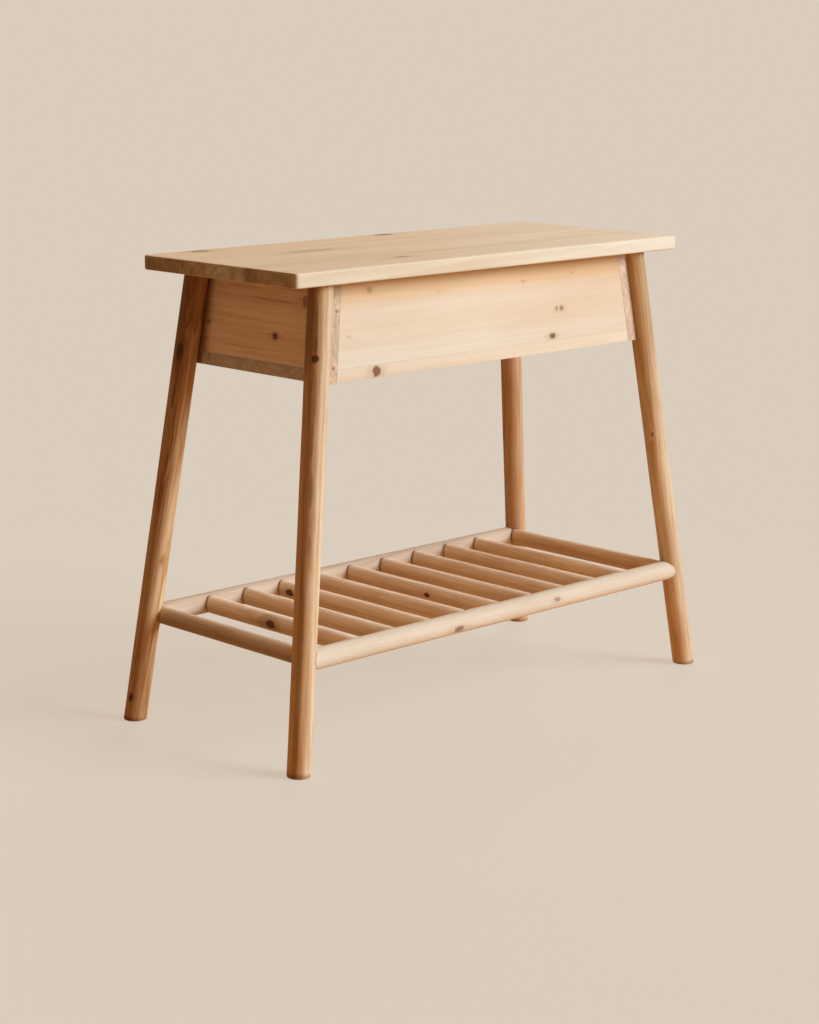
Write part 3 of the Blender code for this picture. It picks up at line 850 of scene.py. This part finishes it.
front_grain = grain_frame(on_front(0, MIDDLE), (1, 0, 0), (0, -DEPTH_COS, DEPTH_SIN))
back_grain = grain_frame((0, front_face_y(MIDDLE), MIDDLE), (-1, 0, 0), (0, DEPTH_COS, DEPTH_SIN))
left_grain = grain_frame(on_left(0, MIDDLE), (0, -1, 0), (-SIDE_COS, 0, SIDE_SIN))
right_grain = grain_frame((end_face_x(MIDDLE), 0, MIDDLE), (0, 1, 0), (SIDE_COS, 0, SIDE_SIN))
board_grain = grain_frame((0, 0, BOX_BOTTOM), (1, 0, 0), (0, 0, -1))
print("panel faces have their middle at", round(MIDDLE, 4))

# %% Panel tints and knots
PANEL_PALE, PANEL_DARK = (0.775, 0.652, 0.498), (0.64, 0.46, 0.285)
END_PALE, END_DARK = (0.870, 0.710, 0.510), (0.60, 0.38, 0.19)
PALER = (1.02, 1.11, 1.18)
# Warm tint: the right end's upper board, and on the front a painted shade under the lid.
WARM_BOARD_AND_LID_SHADE = (0.96, 0.81, 0.63)
REDDER = (0.95, 0.925, 0.97)
LIGHTER_PAINTED_LIGHT = (1.11, 1.11, 1.18)
PINKER = (0.79, 0.74, 0.75)
FRONT_CORE = (0.215, 0.125, 0.055)
GREYER = (0.66, 0.60, 0.56)
DIMMER = (LENGTHWISE, -0.05, 0.20, (0.94, 0.89, 0.85))
# Painted shade on the left end, beside the rear left leg.
REAR_CORNER_PAINTED_SHADE = (LENGTHWISE, -0.094, -0.115, (0.42, 0.28, 0.21))
THROUGH = 0.03
FRONT_KNOTS = (
    (0.141, 0.539, 0.0042, 0.0046, 0.75), (0.131, 0.539, 0.0040, 0.0030, 0.60),
    (0.121, 0.503, 0.0046, 0.0070, 1.00), (0.067, 0.581, 0.0024, 0.0050, 0.30),
    (0.165, 0.585, 0.0024, 0.0040, 0.20), (-0.214, 0.592, 0.0052, 0.0062, 0.40),
    (-0.253, 0.537, 0.0020, 0.0030, 0.25), (-0.092, 0.580, 0.0020, 0.0036, 0.22),
)
LEFT_KNOTS = (
    (-0.028, 0.531, 0.0056, 0.0064, 1.00), (0.105, 0.537, 0.0030, 0.0040, 0.55),
    (-0.0785, 0.579, 0.0095, 0.0058, 0.60), (-0.020, 0.575, 0.0022, 0.050, 0.25),
    (0.040, 0.588, 0.0022, 0.040, 0.22), (-0.050, 0.592, 0.0020, 0.030, 0.20),
    (0.030, 0.512, 0.0018, 0.050, 0.14),
)
STRIP_MARKS = ((-0.271, 0.570), (-0.282, 0.500))
MARK_REACH, MARK_STRENGTH = (0.0024, 0.0030, 0.0040), 0.65
BAND_KNOT = (-0.209, 0.489)
BAND_REACH, BAND_STRENGTH = (0.012, 0.0080, 0.0080), 0.95
FRONT_SEAM, LEFT_SEAM = 0.581, 0.568
BACK_SEAM_ACROSS, RIGHT_SEAM_ACROSS = 0.012, 0.004
# The front's lowest part is paler, and its top is painted warmer toward the lid, a painted shade under its
# overhang.
FRONT_TONES = ((0.535, 0.505, PALER), (0.562, 0.590, WARM_BOARD_AND_LID_SHADE))
# Painted light: the left end is lighter above its lowest strip, against the shade under the lid.
LEFT_TONES = ((0.510, 0.535, LIGHTER_PAINTED_LIGHT),)
print("knots on the front and the left end:", len(FRONT_KNOTS), len(LEFT_KNOTS))

# %% From a face into its grain
def face_knots(grain, on_face, knots):
    """Knots of a panel's face, with their places in its grain frame."""
    return [
        (local(grain, on_face(aside, z)), (high, THROUGH, wide), strength)
        for aside, z, high, wide, strength in knots
    ]


def across_grain(grain, on_face, z):
    """Where a height on a panel's face lies across its grain."""
    return local(grain, on_face(0, z))[0]


def face_tones(grain, on_face, tones):
    """Tones that come in between two heights of a panel's face."""
    return [
        (ACROSS, across_grain(grain, on_face, start), across_grain(grain, on_face, end), tint)
        for start, end, tint in tones
    ]


def two_boards(seam, upper, end=END_GRAIN):
    """Strips of a panel glued up from two boards, with a tint for the upper one and for the ends."""
    return ((-1.0, PLAIN, end), (seam, upper, end))


print("the front's glue line across its grain:", round(across_grain(front_grain, on_front, FRONT_SEAM), 4))

# %% Panels
front_knots = face_knots(front_grain, on_front, FRONT_KNOTS)
left_knots = face_knots(left_grain, on_left, LEFT_KNOTS)
left_knots += [(local(left_grain, on_front(x, z)), MARK_REACH, MARK_STRENGTH) for x, z in STRIP_MARKS]
board_knots = [(local(board_grain, on_front(*BAND_KNOT)), BAND_REACH, BAND_STRENGTH)]
front_strips = two_boards(across_grain(front_grain, on_front, FRONT_SEAM), PLAIN)
back_strips = two_boards(BACK_SEAM_ACROSS, PLAIN)
left_strips = two_boards(across_grain(left_grain, on_left, LEFT_SEAM), REDDER, GREYER)
right_strips = two_boards(RIGHT_SEAM_ACROSS, WARM_BOARD_AND_LID_SHADE, PINKER)
board_tones = {
    "front_board": (*face_tones(front_grain, on_front, FRONT_TONES), DIMMER),
    "left_board": (REAR_CORNER_PAINTED_SHADE, *face_tones(left_grain, on_left, LEFT_TONES)),
}
panels = (PANEL_PALE, PANEL_DARK, 0.5)
ends = (END_PALE, END_DARK, 1.0)
box_pieces = (
    ("front_board", wide_panel(-1), front_grain, panels, 21, front_knots, front_strips, "front_panel"),
    ("back_board", wide_panel(1), back_grain, panels, 33, (), back_strips, "back_panel"),
    ("left_board", end_panel(-1), left_grain, ends, 42, left_knots, left_strips, "left_end_panel"),
    ("right_board", end_panel(1), right_grain, ends, 57, (), right_strips, "right_end_panel"),
    ("floor_board", bottom_board(), board_grain, panels, 64, board_knots, ONE_BOARD, "bottom_board"),
)
for name, shape, grain, (pale, dark, contrast), seed, knots, strips, node in box_pieces:
    finish = pine(
        name + "_pine", grain, pale, dark, seed, knots, strips, board_tones.get(name, ()),
        contrast=contrast, figure=1.4, lines=0.20, mottle=0.6,
        core_colour=FRONT_CORE if name == "front_board" else KNOT_CORE,
    )
    piece = place_piece(name, shape, finish, "bench_frame", node)
    print(name, len(piece.data.vertices), "points,", len(knots), "knots")

# %% [markdown]
# The legs are round bars, a shade thinner at the foot, with both ends cut level. A cylinder that is tilted
# has ends that lean with it, so a leg is drawn as a row of level rings. A dowel cutter leaves a bar true,
# and sanding by hand leaves it a hair uneven, so the rings have a tiny wobble. The foot's rim is rounded
# over, and a flat seat is cut where the box meets the leg.

# %% Leg rings
LEG_SIDES = 72
LEG_RINGS = 60
FOOT_ROUNDING = 0.002
WOBBLE = 0.00022
WOBBLE_FADE = 0.04
LEG_WAVES, LEG_SHIFT = 9, 7.3
SEAT_HEIGHT = BOX_BOTTOM - GAP
SEAT_STEP = 0.00005
SEAT_SIDES = 7
SEAT_TRIES = 30


def leg_axis(side, face):
    """Foot, direction and length of a leg."""
    base = Vector((side * foot.x, face * foot.y, 0))
    top = Vector((side * leg_x(UNDERSIDE), face * leg_y(UNDERSIDE), UNDERSIDE))
    return base, (top - base).normalized(), (top - base).length


def leg_levels():
    """Heights of a leg's rings, with how far each is drawn in."""
    levels = [(FOOT_ROUNDING * (1 - cosine), FOOT_ROUNDING * (1 - sine)) for sine, cosine in arc_steps(5)]
    step = (BOX_TOP - FOOT_ROUNDING) / LEG_RINGS
    heights = [FOOT_ROUNDING + step * count for count in range(1, LEG_RINGS + 1)]
    heights = [z for z in heights if abs(z - SEAT_HEIGHT) > step / 3]
    heights += [SEAT_HEIGHT - SEAT_STEP, SEAT_HEIGHT + SEAT_STEP]
    return levels + [(z, 0.0) for z in sorted(heights)]


def inward_turn(side):
    """The angle round a leg at which it faces the box."""
    return 0.0 if side > 0 else math.pi


def leg_turns(side, edges):
    """Angles of a ring's points, two of which fall on the edges of the flat seat."""
    half = LEG_SIDES // 2
    turns = []
    for i in range(-half, half):
        edge = edges[i > 0]
        if abs(i) <= SEAT_SIDES:
            away = edge * abs(i) / SEAT_SIDES
        else:
            away = edge + (math.pi - edge) * (abs(i) - SEAT_SIDES) / (half - SEAT_SIDES)
        turns.append(inward_turn(side) + math.copysign(away, i))
    return turns


print("leg rings:", len(leg_levels()), "sides:", LEG_SIDES)

# %% Leg shape
def leg_shape(side, face, seed):
    """Level rings along a leaning leg, held back to a flat where the box sits."""
    base, along, length = leg_axis(side, face)
    across = along.cross(Vector((0, 1, 0))).normalized()
    other = along.cross(across)
    taper = (LEG_TOP_RADIUS - LEG_FOOT_RADIUS) / length

    def rim(turn, z, inset=0.0, uneven=0.0):
        out = across * math.cos(turn) + other * math.sin(turn)
        start = LEG_FOOT_RADIUS - inset
        distance = (z - start * out.z) / (along.z + taper * out.z)
        point = base + along * distance + out * (start + taper * distance + uneven)
        return Vector((point.x, point.y, z))

    def flat_x(z):
        return end_face_x(z) + GAP / SIDE_COS

    def seat_edge(z, way):
        near, far = 0.0, math.pi / 2
        for step in range(SEAT_TRIES):
            middle = (near + far) / 2
            cut = side * rim(inward_turn(side) + way * middle, z).x < flat_x(z)
            near, far = (middle, far) if cut else (near, middle)
        return far

    loops = []
    for z, inset in leg_levels():
        edges = [seat_edge(max(z, SEAT_HEIGHT), way) for way in (-1, 1)]
        held = WOBBLE * min(1.0, max(0.0, (SEAT_HEIGHT - z) / WOBBLE_FADE))
        ring = []
        for turn in leg_turns(side, edges):
            drift = z * LEG_WAVES + seed * LEG_SHIFT
            uneven = noise.noise(Vector((math.cos(turn), math.sin(turn), drift))) - 1
            point = rim(turn, z, inset, uneven * held)
            if z > SEAT_HEIGHT:
                point.x = side * max(side * point.x, flat_x(z))
            ring.append(point)
        loops.append(ring)
    shape = bmesh.new()
    loft(shape, loops)
    return shape


print("the seat on a leg starts at", round(SEAT_HEIGHT, 4))

# %% [markdown]
# A leg's knot is given by its height, the way it faces, its width, its length and its strength. Some are
# only faint streaks in the wood. Each leg also has a tint of its own, partly its wood and partly painted
# shade. The tones that run round it and along it are painted shade and painted light: they darken and
# lighten bands of the side away from the lamp, and darken the top under the lid. The foot is painted
# darker at its base, a painted contact shadow.

# %% Leg knots and tones
ROUND_PALE, ROUND_DARK = (0.760, 0.580, 0.385), (0.48, 0.260, 0.105)
LEG_KNOTS = {
    "front_left": (
        (0.555, -188, 0.0110, 0.075, 0.50), (0.5165, -143, 0.0058, 0.0062, 1.0),
        (0.532, -141, 0.0024, 0.016, 0.60), (0.553, -143, 0.0018, 0.030, 0.40),
        (0.473, -132, 0.0018, 0.030, 0.22), (0.415, -141, 0.0024, 0.026, 0.28),
        (0.355, -134, 0.0034, 0.026, 0.32), (0.288, -131, 0.0028, 0.018, 0.30),
    ),
    "front_right": ((0.345, -151, 0.0022, 0.0030, 0.7),),
    "rear_left": (
        (0.545, -182, 0.0085, 0.080, 0.40), (0.499, -163, 0.0070, 0.015, 0.95),
        (0.497, -160, 0.0100, 0.032, 0.45), (0.470, -158, 0.0034, 0.026, 0.40),
        (0.541, -168, 0.0032, 0.022, 0.50), (0.575, -171, 0.0018, 0.030, 0.45),
        (0.441, -163, 0.0036, 0.020, 0.50), (0.415, -143, 0.0016, 0.024, 0.55),
        (0.376, -138, 0.0016, 0.026, 0.50), (0.352, -150, 0.0016, 0.022, 0.50),
        (0.315, -165, 0.0016, 0.034, 0.50), (0.033, -169, 0.0044, 0.0070, 1.0),
        (0.220, -103, 0.0020, 0.0034, 0.60),
    ),
    "rear_right": (),
}
LEG_CONTRAST = {"front_left": 0.9, "front_right": 0.9, "rear_left": 1.6, "rear_right": 0.9}
# Painted contact shadow: each foot is darker at its base.
FOOT_SHADE = (LENGTHWISE, 0.007, 0.001, (0.62, 0.50, 0.42))
# Each leg's tint, then its tones: painted shade and painted light across it and along it.
LEG_TINTS_AND_PAINTED_LIGHT = {
    "front_left": (
        (0.98, 1.00, 1.02),
        (
            (ACROSS, -0.010, -0.003, (0.90, 0.75, 0.58)), (ACROSS, -0.003, 0.004, (0.68, 0.61, 0.52)),
            (ACROSS, 0.006, 0.013, (1.45, 1.60, 1.70)), (LENGTHWISE, 0.35, 0.55, (0.95, 0.93, 0.92)),
        ),
    ),
    "front_right": (
        (0.94, 1.00, 1.05),
        (
            (ACROSS, -0.010, -0.002, (1.20, 1.14, 1.04)), (ACROSS, -0.002, 0.008, (0.80, 0.78, 0.76)),
            (LENGTHWISE, 0.30, 0.12, (0.91, 0.88, 0.86)), (LENGTHWISE, 0.34, 0.52, (0.78, 0.67, 0.55)),
        ),
    ),
    "rear_left": (
        (0.95, 0.86, 0.73),
        (
            (ACROSS, -0.008, -0.001, (0.80, 0.74, 0.66)), (ACROSS, 0.000, 0.006, (0.80, 0.72, 0.64)),
            (ACROSS, 0.006, 0.011, (1.25, 1.40, 1.50)), (LENGTHWISE, 0.40, 0.52, (0.74, 0.70, 0.70)),
        ),
    ),
    "rear_right": (
        (0.79, 0.66, 0.57),
        ((ACROSS, -0.002, 0.008, (0.86, 0.81, 0.74)),),
    ),
}
print("knots and streaks on the legs:", {leg: len(knots) for leg, knots in LEG_KNOTS.items()})

# %% Legs
def on_leg(leg, z, azimuth):
    """A point of a leg's surface at a height, on the side that faces an azimuth."""
    side, face = LEGS[leg]
    turn = math.radians(azimuth)
    out = Vector((math.cos(turn), math.sin(turn), 0)) * LEG_TOP_RADIUS
    return Vector((side * leg_x(z), face * leg_y(z), z)) + out


for seed, (leg, (side, face)) in enumerate(LEGS.items(), start=71):
    base, along, length = leg_axis(side, face)
    grain = grain_frame(base, along, (-1, -1, 0))
    tint, tones = LEG_TINTS_AND_PAINTED_LIGHT[leg]
    knots = [
        (local(grain, on_leg(leg, z, turn)), (wide, wide, high), strength)
        for z, turn, wide, high, strength in LEG_KNOTS[leg]
    ]
    finish = pine(
        "leg_pine_" + leg, grain, ROUND_PALE, ROUND_DARK, seed, knots, ((-1.0, tint, END_GRAIN),),
        (*tones, FOOT_SHADE), pith=(0.024, -0.020), lean=0.03, contrast=LEG_CONTRAST[leg], figure=2.2,
        core_colour=DARK_CORE,
    )
    shape = leg_shape(side, face, seed)
    piece = place_piece("round_leg_" + leg, shape, finish, "bench_frame", "leg_" + leg)
    print(piece.name, len(piece.data.vertices), "points,", len(knots), "knots")

# %% [markdown]
# The shelf is two round rails between the legs, and thinner round bars let into them from front to back. A
# bar that goes into a round hole in a round rail shows a curved edge where it enters. A Boolean could cut
# that edge, but it leaves thin faces that shade badly. So every point of a bar's end is found by running
# along the bar until it meets the leg or the rail, and the end follows that curve and leaves a hair of
# shadow.

# %% Where bars end
COPE_GAP = 0.0004
shelf_y = leg_y(SHELF_HEIGHT)
ALONG, BACK, UP = Vector((1, 0, 0)), Vector((0, 1, 0)), Vector((0, 0, 1))


def meets_leg(point, direction, leg):
    """How far a point runs along a direction before it meets a leg, or infinity."""
    base, along, length = leg_axis(*leg)
    offset = point - base
    height = offset.dot(along)
    aside = offset - along * height
    pace = direction - along * direction.dot(along)
    radius = LEG_FOOT_RADIUS + (LEG_TOP_RADIUS - LEG_FOOT_RADIUS) * height / length + COPE_GAP
    a, b, c = pace.dot(pace), aside.dot(pace), aside.dot(aside) - radius * radius
    if b > 0 or b * b < a * c:
        return math.inf
    return (-b - math.sqrt(b * b - a * c)) / a


def reach(point, direction):
    """How far a point of a bar, from the bar's middle, runs before it meets a leg or a rail."""
    stops = [meets_leg(point, direction, leg) for leg in LEGS.values()]
    if direction in (BACK, -BACK):
        rise = point.z - SHELF_HEIGHT
        stops.append(shelf_y - math.sqrt((RAIL_RADIUS + COPE_GAP) ** 2 - rise * rise))
    return min(stops)


rail_reach = reach(Vector((0, -shelf_y, SHELF_HEIGHT)), ALONG)
slat_reach = reach(Vector((0, 0, SHELF_HEIGHT)), BACK)
print("half lengths of rail and slat:", round(rail_reach, 4), round(slat_reach, 4))

# %% Bar shape
BAR_SIDES = 56
BAR_RINGS = 40
CAP_RINGS = 4
BAR_WAVES, BAR_SHIFT = 12, 5.1


def bar_shape(middle, direction, radius, seed):
    """A round bar from its middle outward, with ends that follow what they meet."""
    other = direction.cross(UP)
    spokes = [other * math.cos(turn) + UP * math.sin(turn) for turn in full_circle(BAR_SIDES)]
    shape = bmesh.new()
    spans = []
    for spoke in spokes:
        rim = middle + spoke * radius
        spans.append((rim, -reach(rim, -direction), reach(rim, direction)))
    rings = []
    for step in range(BAR_RINGS + 1):
        ring = []
        for spoke, (rim, low, high) in zip(spokes, spans):
            along = low + (high - low) * step / BAR_RINGS
            place = Vector((spoke.dot(other), spoke.z, along * BAR_WAVES + seed * BAR_SHIFT))
            uneven = (noise.noise(place) - 1) * WOBBLE
            ring.append(shape.verts.new(rim + direction * along + spoke * uneven))
        rings.append(ring)
    for lower, upper in zip(rings, rings[1:]):
        bridge(shape, lower, upper)
    for outer, way in ((rings[0], -direction), (rings[-1], direction)):
        for step in range(CAP_RINGS - 1, 0, -1):
            places = [middle + spoke * radius * step / CAP_RINGS for spoke in spokes]
            inner = [shape.verts.new(place + way * reach(place, way)) for place in places]
            bridge(shape, outer, inner)
            outer = inner
        tip = shape.verts.new(middle + way * reach(middle, way))
        for i in range(BAR_SIDES):
            shape.faces.new((outer[i], outer[(i + 1) % BAR_SIDES], tip))
    return shape


print("bar rings:", BAR_RINGS, "sides:", BAR_SIDES)

# %% [markdown]
# Each kind of bar has its own pair of tints, and the front rail is the least yellow of them. Three slats
# have a knot on the side that one sees, drawn out along the bar because the cut is a shallow one. Slats
# and end bars are painted darker toward their undersides, a painted shade, and where they enter the rear
# rail, a painted shadow.

# %% Shelf
SLAT_COUNT = 9
BAR_WOODS = {
    "slat": ((0.930, 0.790, 0.600), (0.55, 0.335, 0.160)),
    "front_rail": ((0.700, 0.610, 0.480), (0.57, 0.425, 0.275)),
    "rear_rail": ((0.600, 0.480, 0.370), (0.41, 0.250, 0.122)),
    "right_end_bar": ((0.800, 0.630, 0.440), (0.50, 0.285, 0.124)),
    "end_bar": ((0.680, 0.530, 0.360), (0.43, 0.240, 0.100)),
}
# Painted shade: slats and end bars darker toward their undersides.
BAR_PAINTED_UNDERSHADE = (ACROSS, -0.009, 0.003, (0.62, 0.54, 0.46))
# Painted shadow: slats and end bars darker where they enter the rear rail.
JOINT_PAINTED_SHADOW = ((0.0, 0.0, shelf_y), RAIL_RADIUS + 0.004, RAIL_RADIUS + 0.001, (0.42, 0.28, 0.21))
BAR_KNOT_REACH = (0.7, 0.7, 1.3)
BAR_KNOTS = {
    "front_rail": ((-0.095, -0.0128, -0.0042, 0.0080, 0.75), (0.096, -0.0135, 0.0025, 0.0056, 0.6)),
    "slat_1": ((-0.011, 0.007, 0.0, 0.0096, 1.0), (-0.011, 0.012, 0.0, 0.021, 0.30)),
    "slat_3": ((-0.011, 0.117, 0.0, 0.0082, 1.0),),
    "slat_5": ((-0.011, -0.023, 0.0, 0.0056, 1.0),),
}
bars = {
    "front_rail": ("shelf_front_rail", Vector((0, -shelf_y, SHELF_HEIGHT)), ALONG, RAIL_RADIUS),
    "rear_rail": ("shelf_rear_rail", Vector((0, shelf_y, SHELF_HEIGHT)), ALONG, RAIL_RADIUS),
}
bar_nodes = {f"{side}_end_bar": f"shelf_end_bar_{side}" for side in ("left", "right")}
bar_nodes.update({f"slat_{number}": f"shelf_slat_{number}" for number in range(1, SLAT_COUNT + 1)})
for name, node in bar_nodes.items():
    low, high = node_box(node)
    bars[name] = (node, Vector(((low.x + high.x) / 2, 0, SHELF_HEIGHT)), BACK, BAR_RADIUS)

for seed, (name, (node, middle, direction, radius)) in enumerate(bars.items(), start=101):
    grain = grain_frame(middle, direction, (-1, 0, 0) if direction == BACK else (0, -1, 0))
    knots = []
    for x, y, rise, wide, strength in BAR_KNOTS.get(name, ()):
        spot = middle + Vector((x, y, rise))
        knots.append((local(grain, spot), [wide * share for share in BAR_KNOT_REACH], strength))
    pale, dark = next(wood for kind, wood in BAR_WOODS.items() if kind in name)
    tones = (BAR_PAINTED_UNDERSHADE, JOINT_PAINTED_SHADOW) if direction == BACK else ()
    finish = pine(
        name + "_pine", grain, pale, dark, seed, knots, tones=tones,
        pith=(0.020, -0.026), lean=0.05, contrast=0.7, figure=2.2, lines=0.25,
        core_colour=KNOT_CORE if name == "front_rail" else DARK_CORE,
    )
    shape = bar_shape(middle, direction, radius, seed)
    piece = place_piece(name, shape, finish, "bench_frame", node)
    print(name, len(piece.data.vertices), "points,", len(knots), "knots")

# %% [markdown]
# The hinge rail at the back is a strip of the same pine. Three countersunk screws hold it to the back
# panel, and it carries the two butt hinges, so the lid can turn clear of the legs. The strip's faces are
# flat, so a Boolean can cut the screws' holes without bad shading, and its result is kept as the strip's
# mesh.

# %% Screw holes
SCREW_HEAD_RADIUS = 0.0027
SCREW_SHANK_RADIUS = 0.0015
SCREW_HEAD_HEIGHT = 0.0013
HOLE_SIDES = 32
HOLE_MARGIN = 0.001
strip_low, strip_high = node_box("hinge_rail")


def strip_face_y(z):
    """Back face of the hinge rail, which leans with the back panel."""
    return strip_high.y - (z - strip_low.z) * DEPTH_TAN


def screw_hole(shape, node):
    """Add the countersunk hole of one screw to a shape of cutters."""
    low, high = node_box(node)
    inward = Vector((0, -DEPTH_COS, -DEPTH_SIN))
    up = inward.cross(ALONG)
    z = high.z - SCREW_HEAD_RADIUS * DEPTH_COS
    head = Vector(((low.x + high.x) / 2, strip_face_y(z), z))
    wide, narrow = SCREW_HEAD_RADIUS + GAP, SCREW_SHANK_RADIUS + GAP
    far = strip_high.y - strip_low.y
    profile = ((-HOLE_MARGIN, wide), (0, wide), (SCREW_HEAD_HEIGHT, narrow), (far, narrow))
    spokes = [ALONG * math.cos(turn) + up * math.sin(turn) for turn in full_circle(HOLE_SIDES)]
    loft(shape, [[head + inward * depth + spoke * radius for spoke in spokes] for depth, radius in profile])


hole_shape = bmesh.new()
for place in ("left", "middle", "right"):
    screw_hole(hole_shape, "hinge_rail_screw_" + place)
print("points of the holes:", len(hole_shape.verts))

# %% Hinge rail
strip_loops = []
for z in (strip_low.z, strip_high.z):
    near, far = front_face_y(z) + GAP / DEPTH_COS, strip_face_y(z)
    outline = ((strip_low.x, near), (strip_high.x, near), (strip_high.x, far), (strip_low.x, far))
    strip_loops.append([Vector((*corner, z)) for corner in outline])
strip_grain = grain_frame((0, strip_high.y, strip_high.z), (-1, 0, 0), (0, DEPTH_COS, DEPTH_SIN))
strip_pine = pine("hinge_strip_pine", strip_grain, PANEL_PALE, PANEL_DARK, 88, contrast=0.5)
strip = place_piece(
    "hinge_strip", eased_board(strip_loops), strip_pine, "bench_frame", "hinge_rail"
)
holes = add_object("screw_holes", drawn_mesh("screw_holes", hole_shape))
cut = strip.modifiers.new("screw_holes", "BOOLEAN")
cut.operation = "DIFFERENCE"
cut.solver = "EXACT"
cut.object = holes
drilled = bpy.data.meshes.new_from_object(strip.evaluated_get(bpy.context.evaluated_depsgraph_get()))
strip.modifiers.clear()
strip.data = drilled
drilled.set_sharp_from_angle(angle=SHARP_ANGLE)
bpy.data.objects.remove(holes, do_unlink=True)
print("hinge strip", len(strip.data.vertices), "points")

# %% [markdown]
# Hinges, pins and screws are small bought parts of zinc-plated steel. The frame's own shapes are exact, so
# they are kept and only get their metal: a grey with a faint yellowish bloom, brushed along its length.
# The beech dowels sit inside the joints and get a fine, even grain.

# %% Metal and dowels
ZINC_GREY, ZINC_BLOOM = (0.42, 0.415, 0.395), (0.32, 0.315, 0.285)
BLOOM_SCALE = 260.0
BEECH_PALE, BEECH_FLECK = (0.62, 0.43, 0.27), (0.46, 0.28, 0.15)
FLECK_EDGE = (0.45, 0.62)
BEECH_CLOUD_SCALE = 120.0
BEECH_LEAST, BEECH_SPREAD = 0.85, 0.3


def finely_marked(name, stretch, scale, detail, roughness, relief):
    """A material whose fine marks along X change its roughness and raise its surface."""
    material, nodes, shader = new_material(name)
    place = nodes.add("ShaderNodeTexCoord", {}).outputs["Object"]
    marks = nodes.noise(nodes.vector("MULTIPLY", place, (stretch, 1.0, 1.0)), scale, detail)
    least, spread = roughness
    nodes.feed(shader.inputs["Roughness"], nodes.math("ADD", least, nodes.math("MULTIPLY", marks, spread)))
    nodes.raise_surface(shader, marks, *relief)
    return material, nodes, shader, place, marks


def zinc():
    """Zinc-plated steel with fine brush marks and a mottled bloom."""
    material, nodes, shader, place, _ = finely_marked(
        "zinc_plate", stretch=0.05, scale=2600.0, detail=2.0, roughness=(0.54, 0.24), relief=(0.15, 0.0001)
    )
    bloom = nodes.noise(place, BLOOM_SCALE, 4.0)
    nodes.feed(shader.inputs["Base Color"], nodes.blend(bloom, ZINC_GREY, ZINC_BLOOM))
    shader.inputs["Metallic"].default_value = 1.0
    return material


def beech():
    """Pale, close-grained beech with short flecks."""
    material, nodes, shader, place, fleck = finely_marked(
        "beech", stretch=0.15, scale=1400.0, detail=3.0, roughness=(0.55, 0.2), relief=(0.2, 0.0002)
    )
    cloud = nodes.math("MULTIPLY", nodes.noise(place, BEECH_CLOUD_SCALE, 2.0), BEECH_SPREAD)
    colour = nodes.blend(nodes.ease(fleck, *FLECK_EDGE), BEECH_PALE, BEECH_FLECK)
    colour = nodes.shade(colour, nodes.math("ADD", BEECH_LEAST, cloud))
    nodes.feed(shader.inputs["Base Color"], colour)
    return material


kept = {"zinc_plated_steel": zinc(), "beech_dowel": beech()}
counts = dict.fromkeys(kept, 0)
for entry in frame["record"]["subparts"]:
    slot = entry["material_slot"]
    if slot in kept:
        node = frame["nodes"][entry["node"]]
        node.data.materials.clear()
        node.data.materials.append(kept[slot])
        counts[slot] += 1
print("frame shapes kept:", counts)

# %% [markdown]
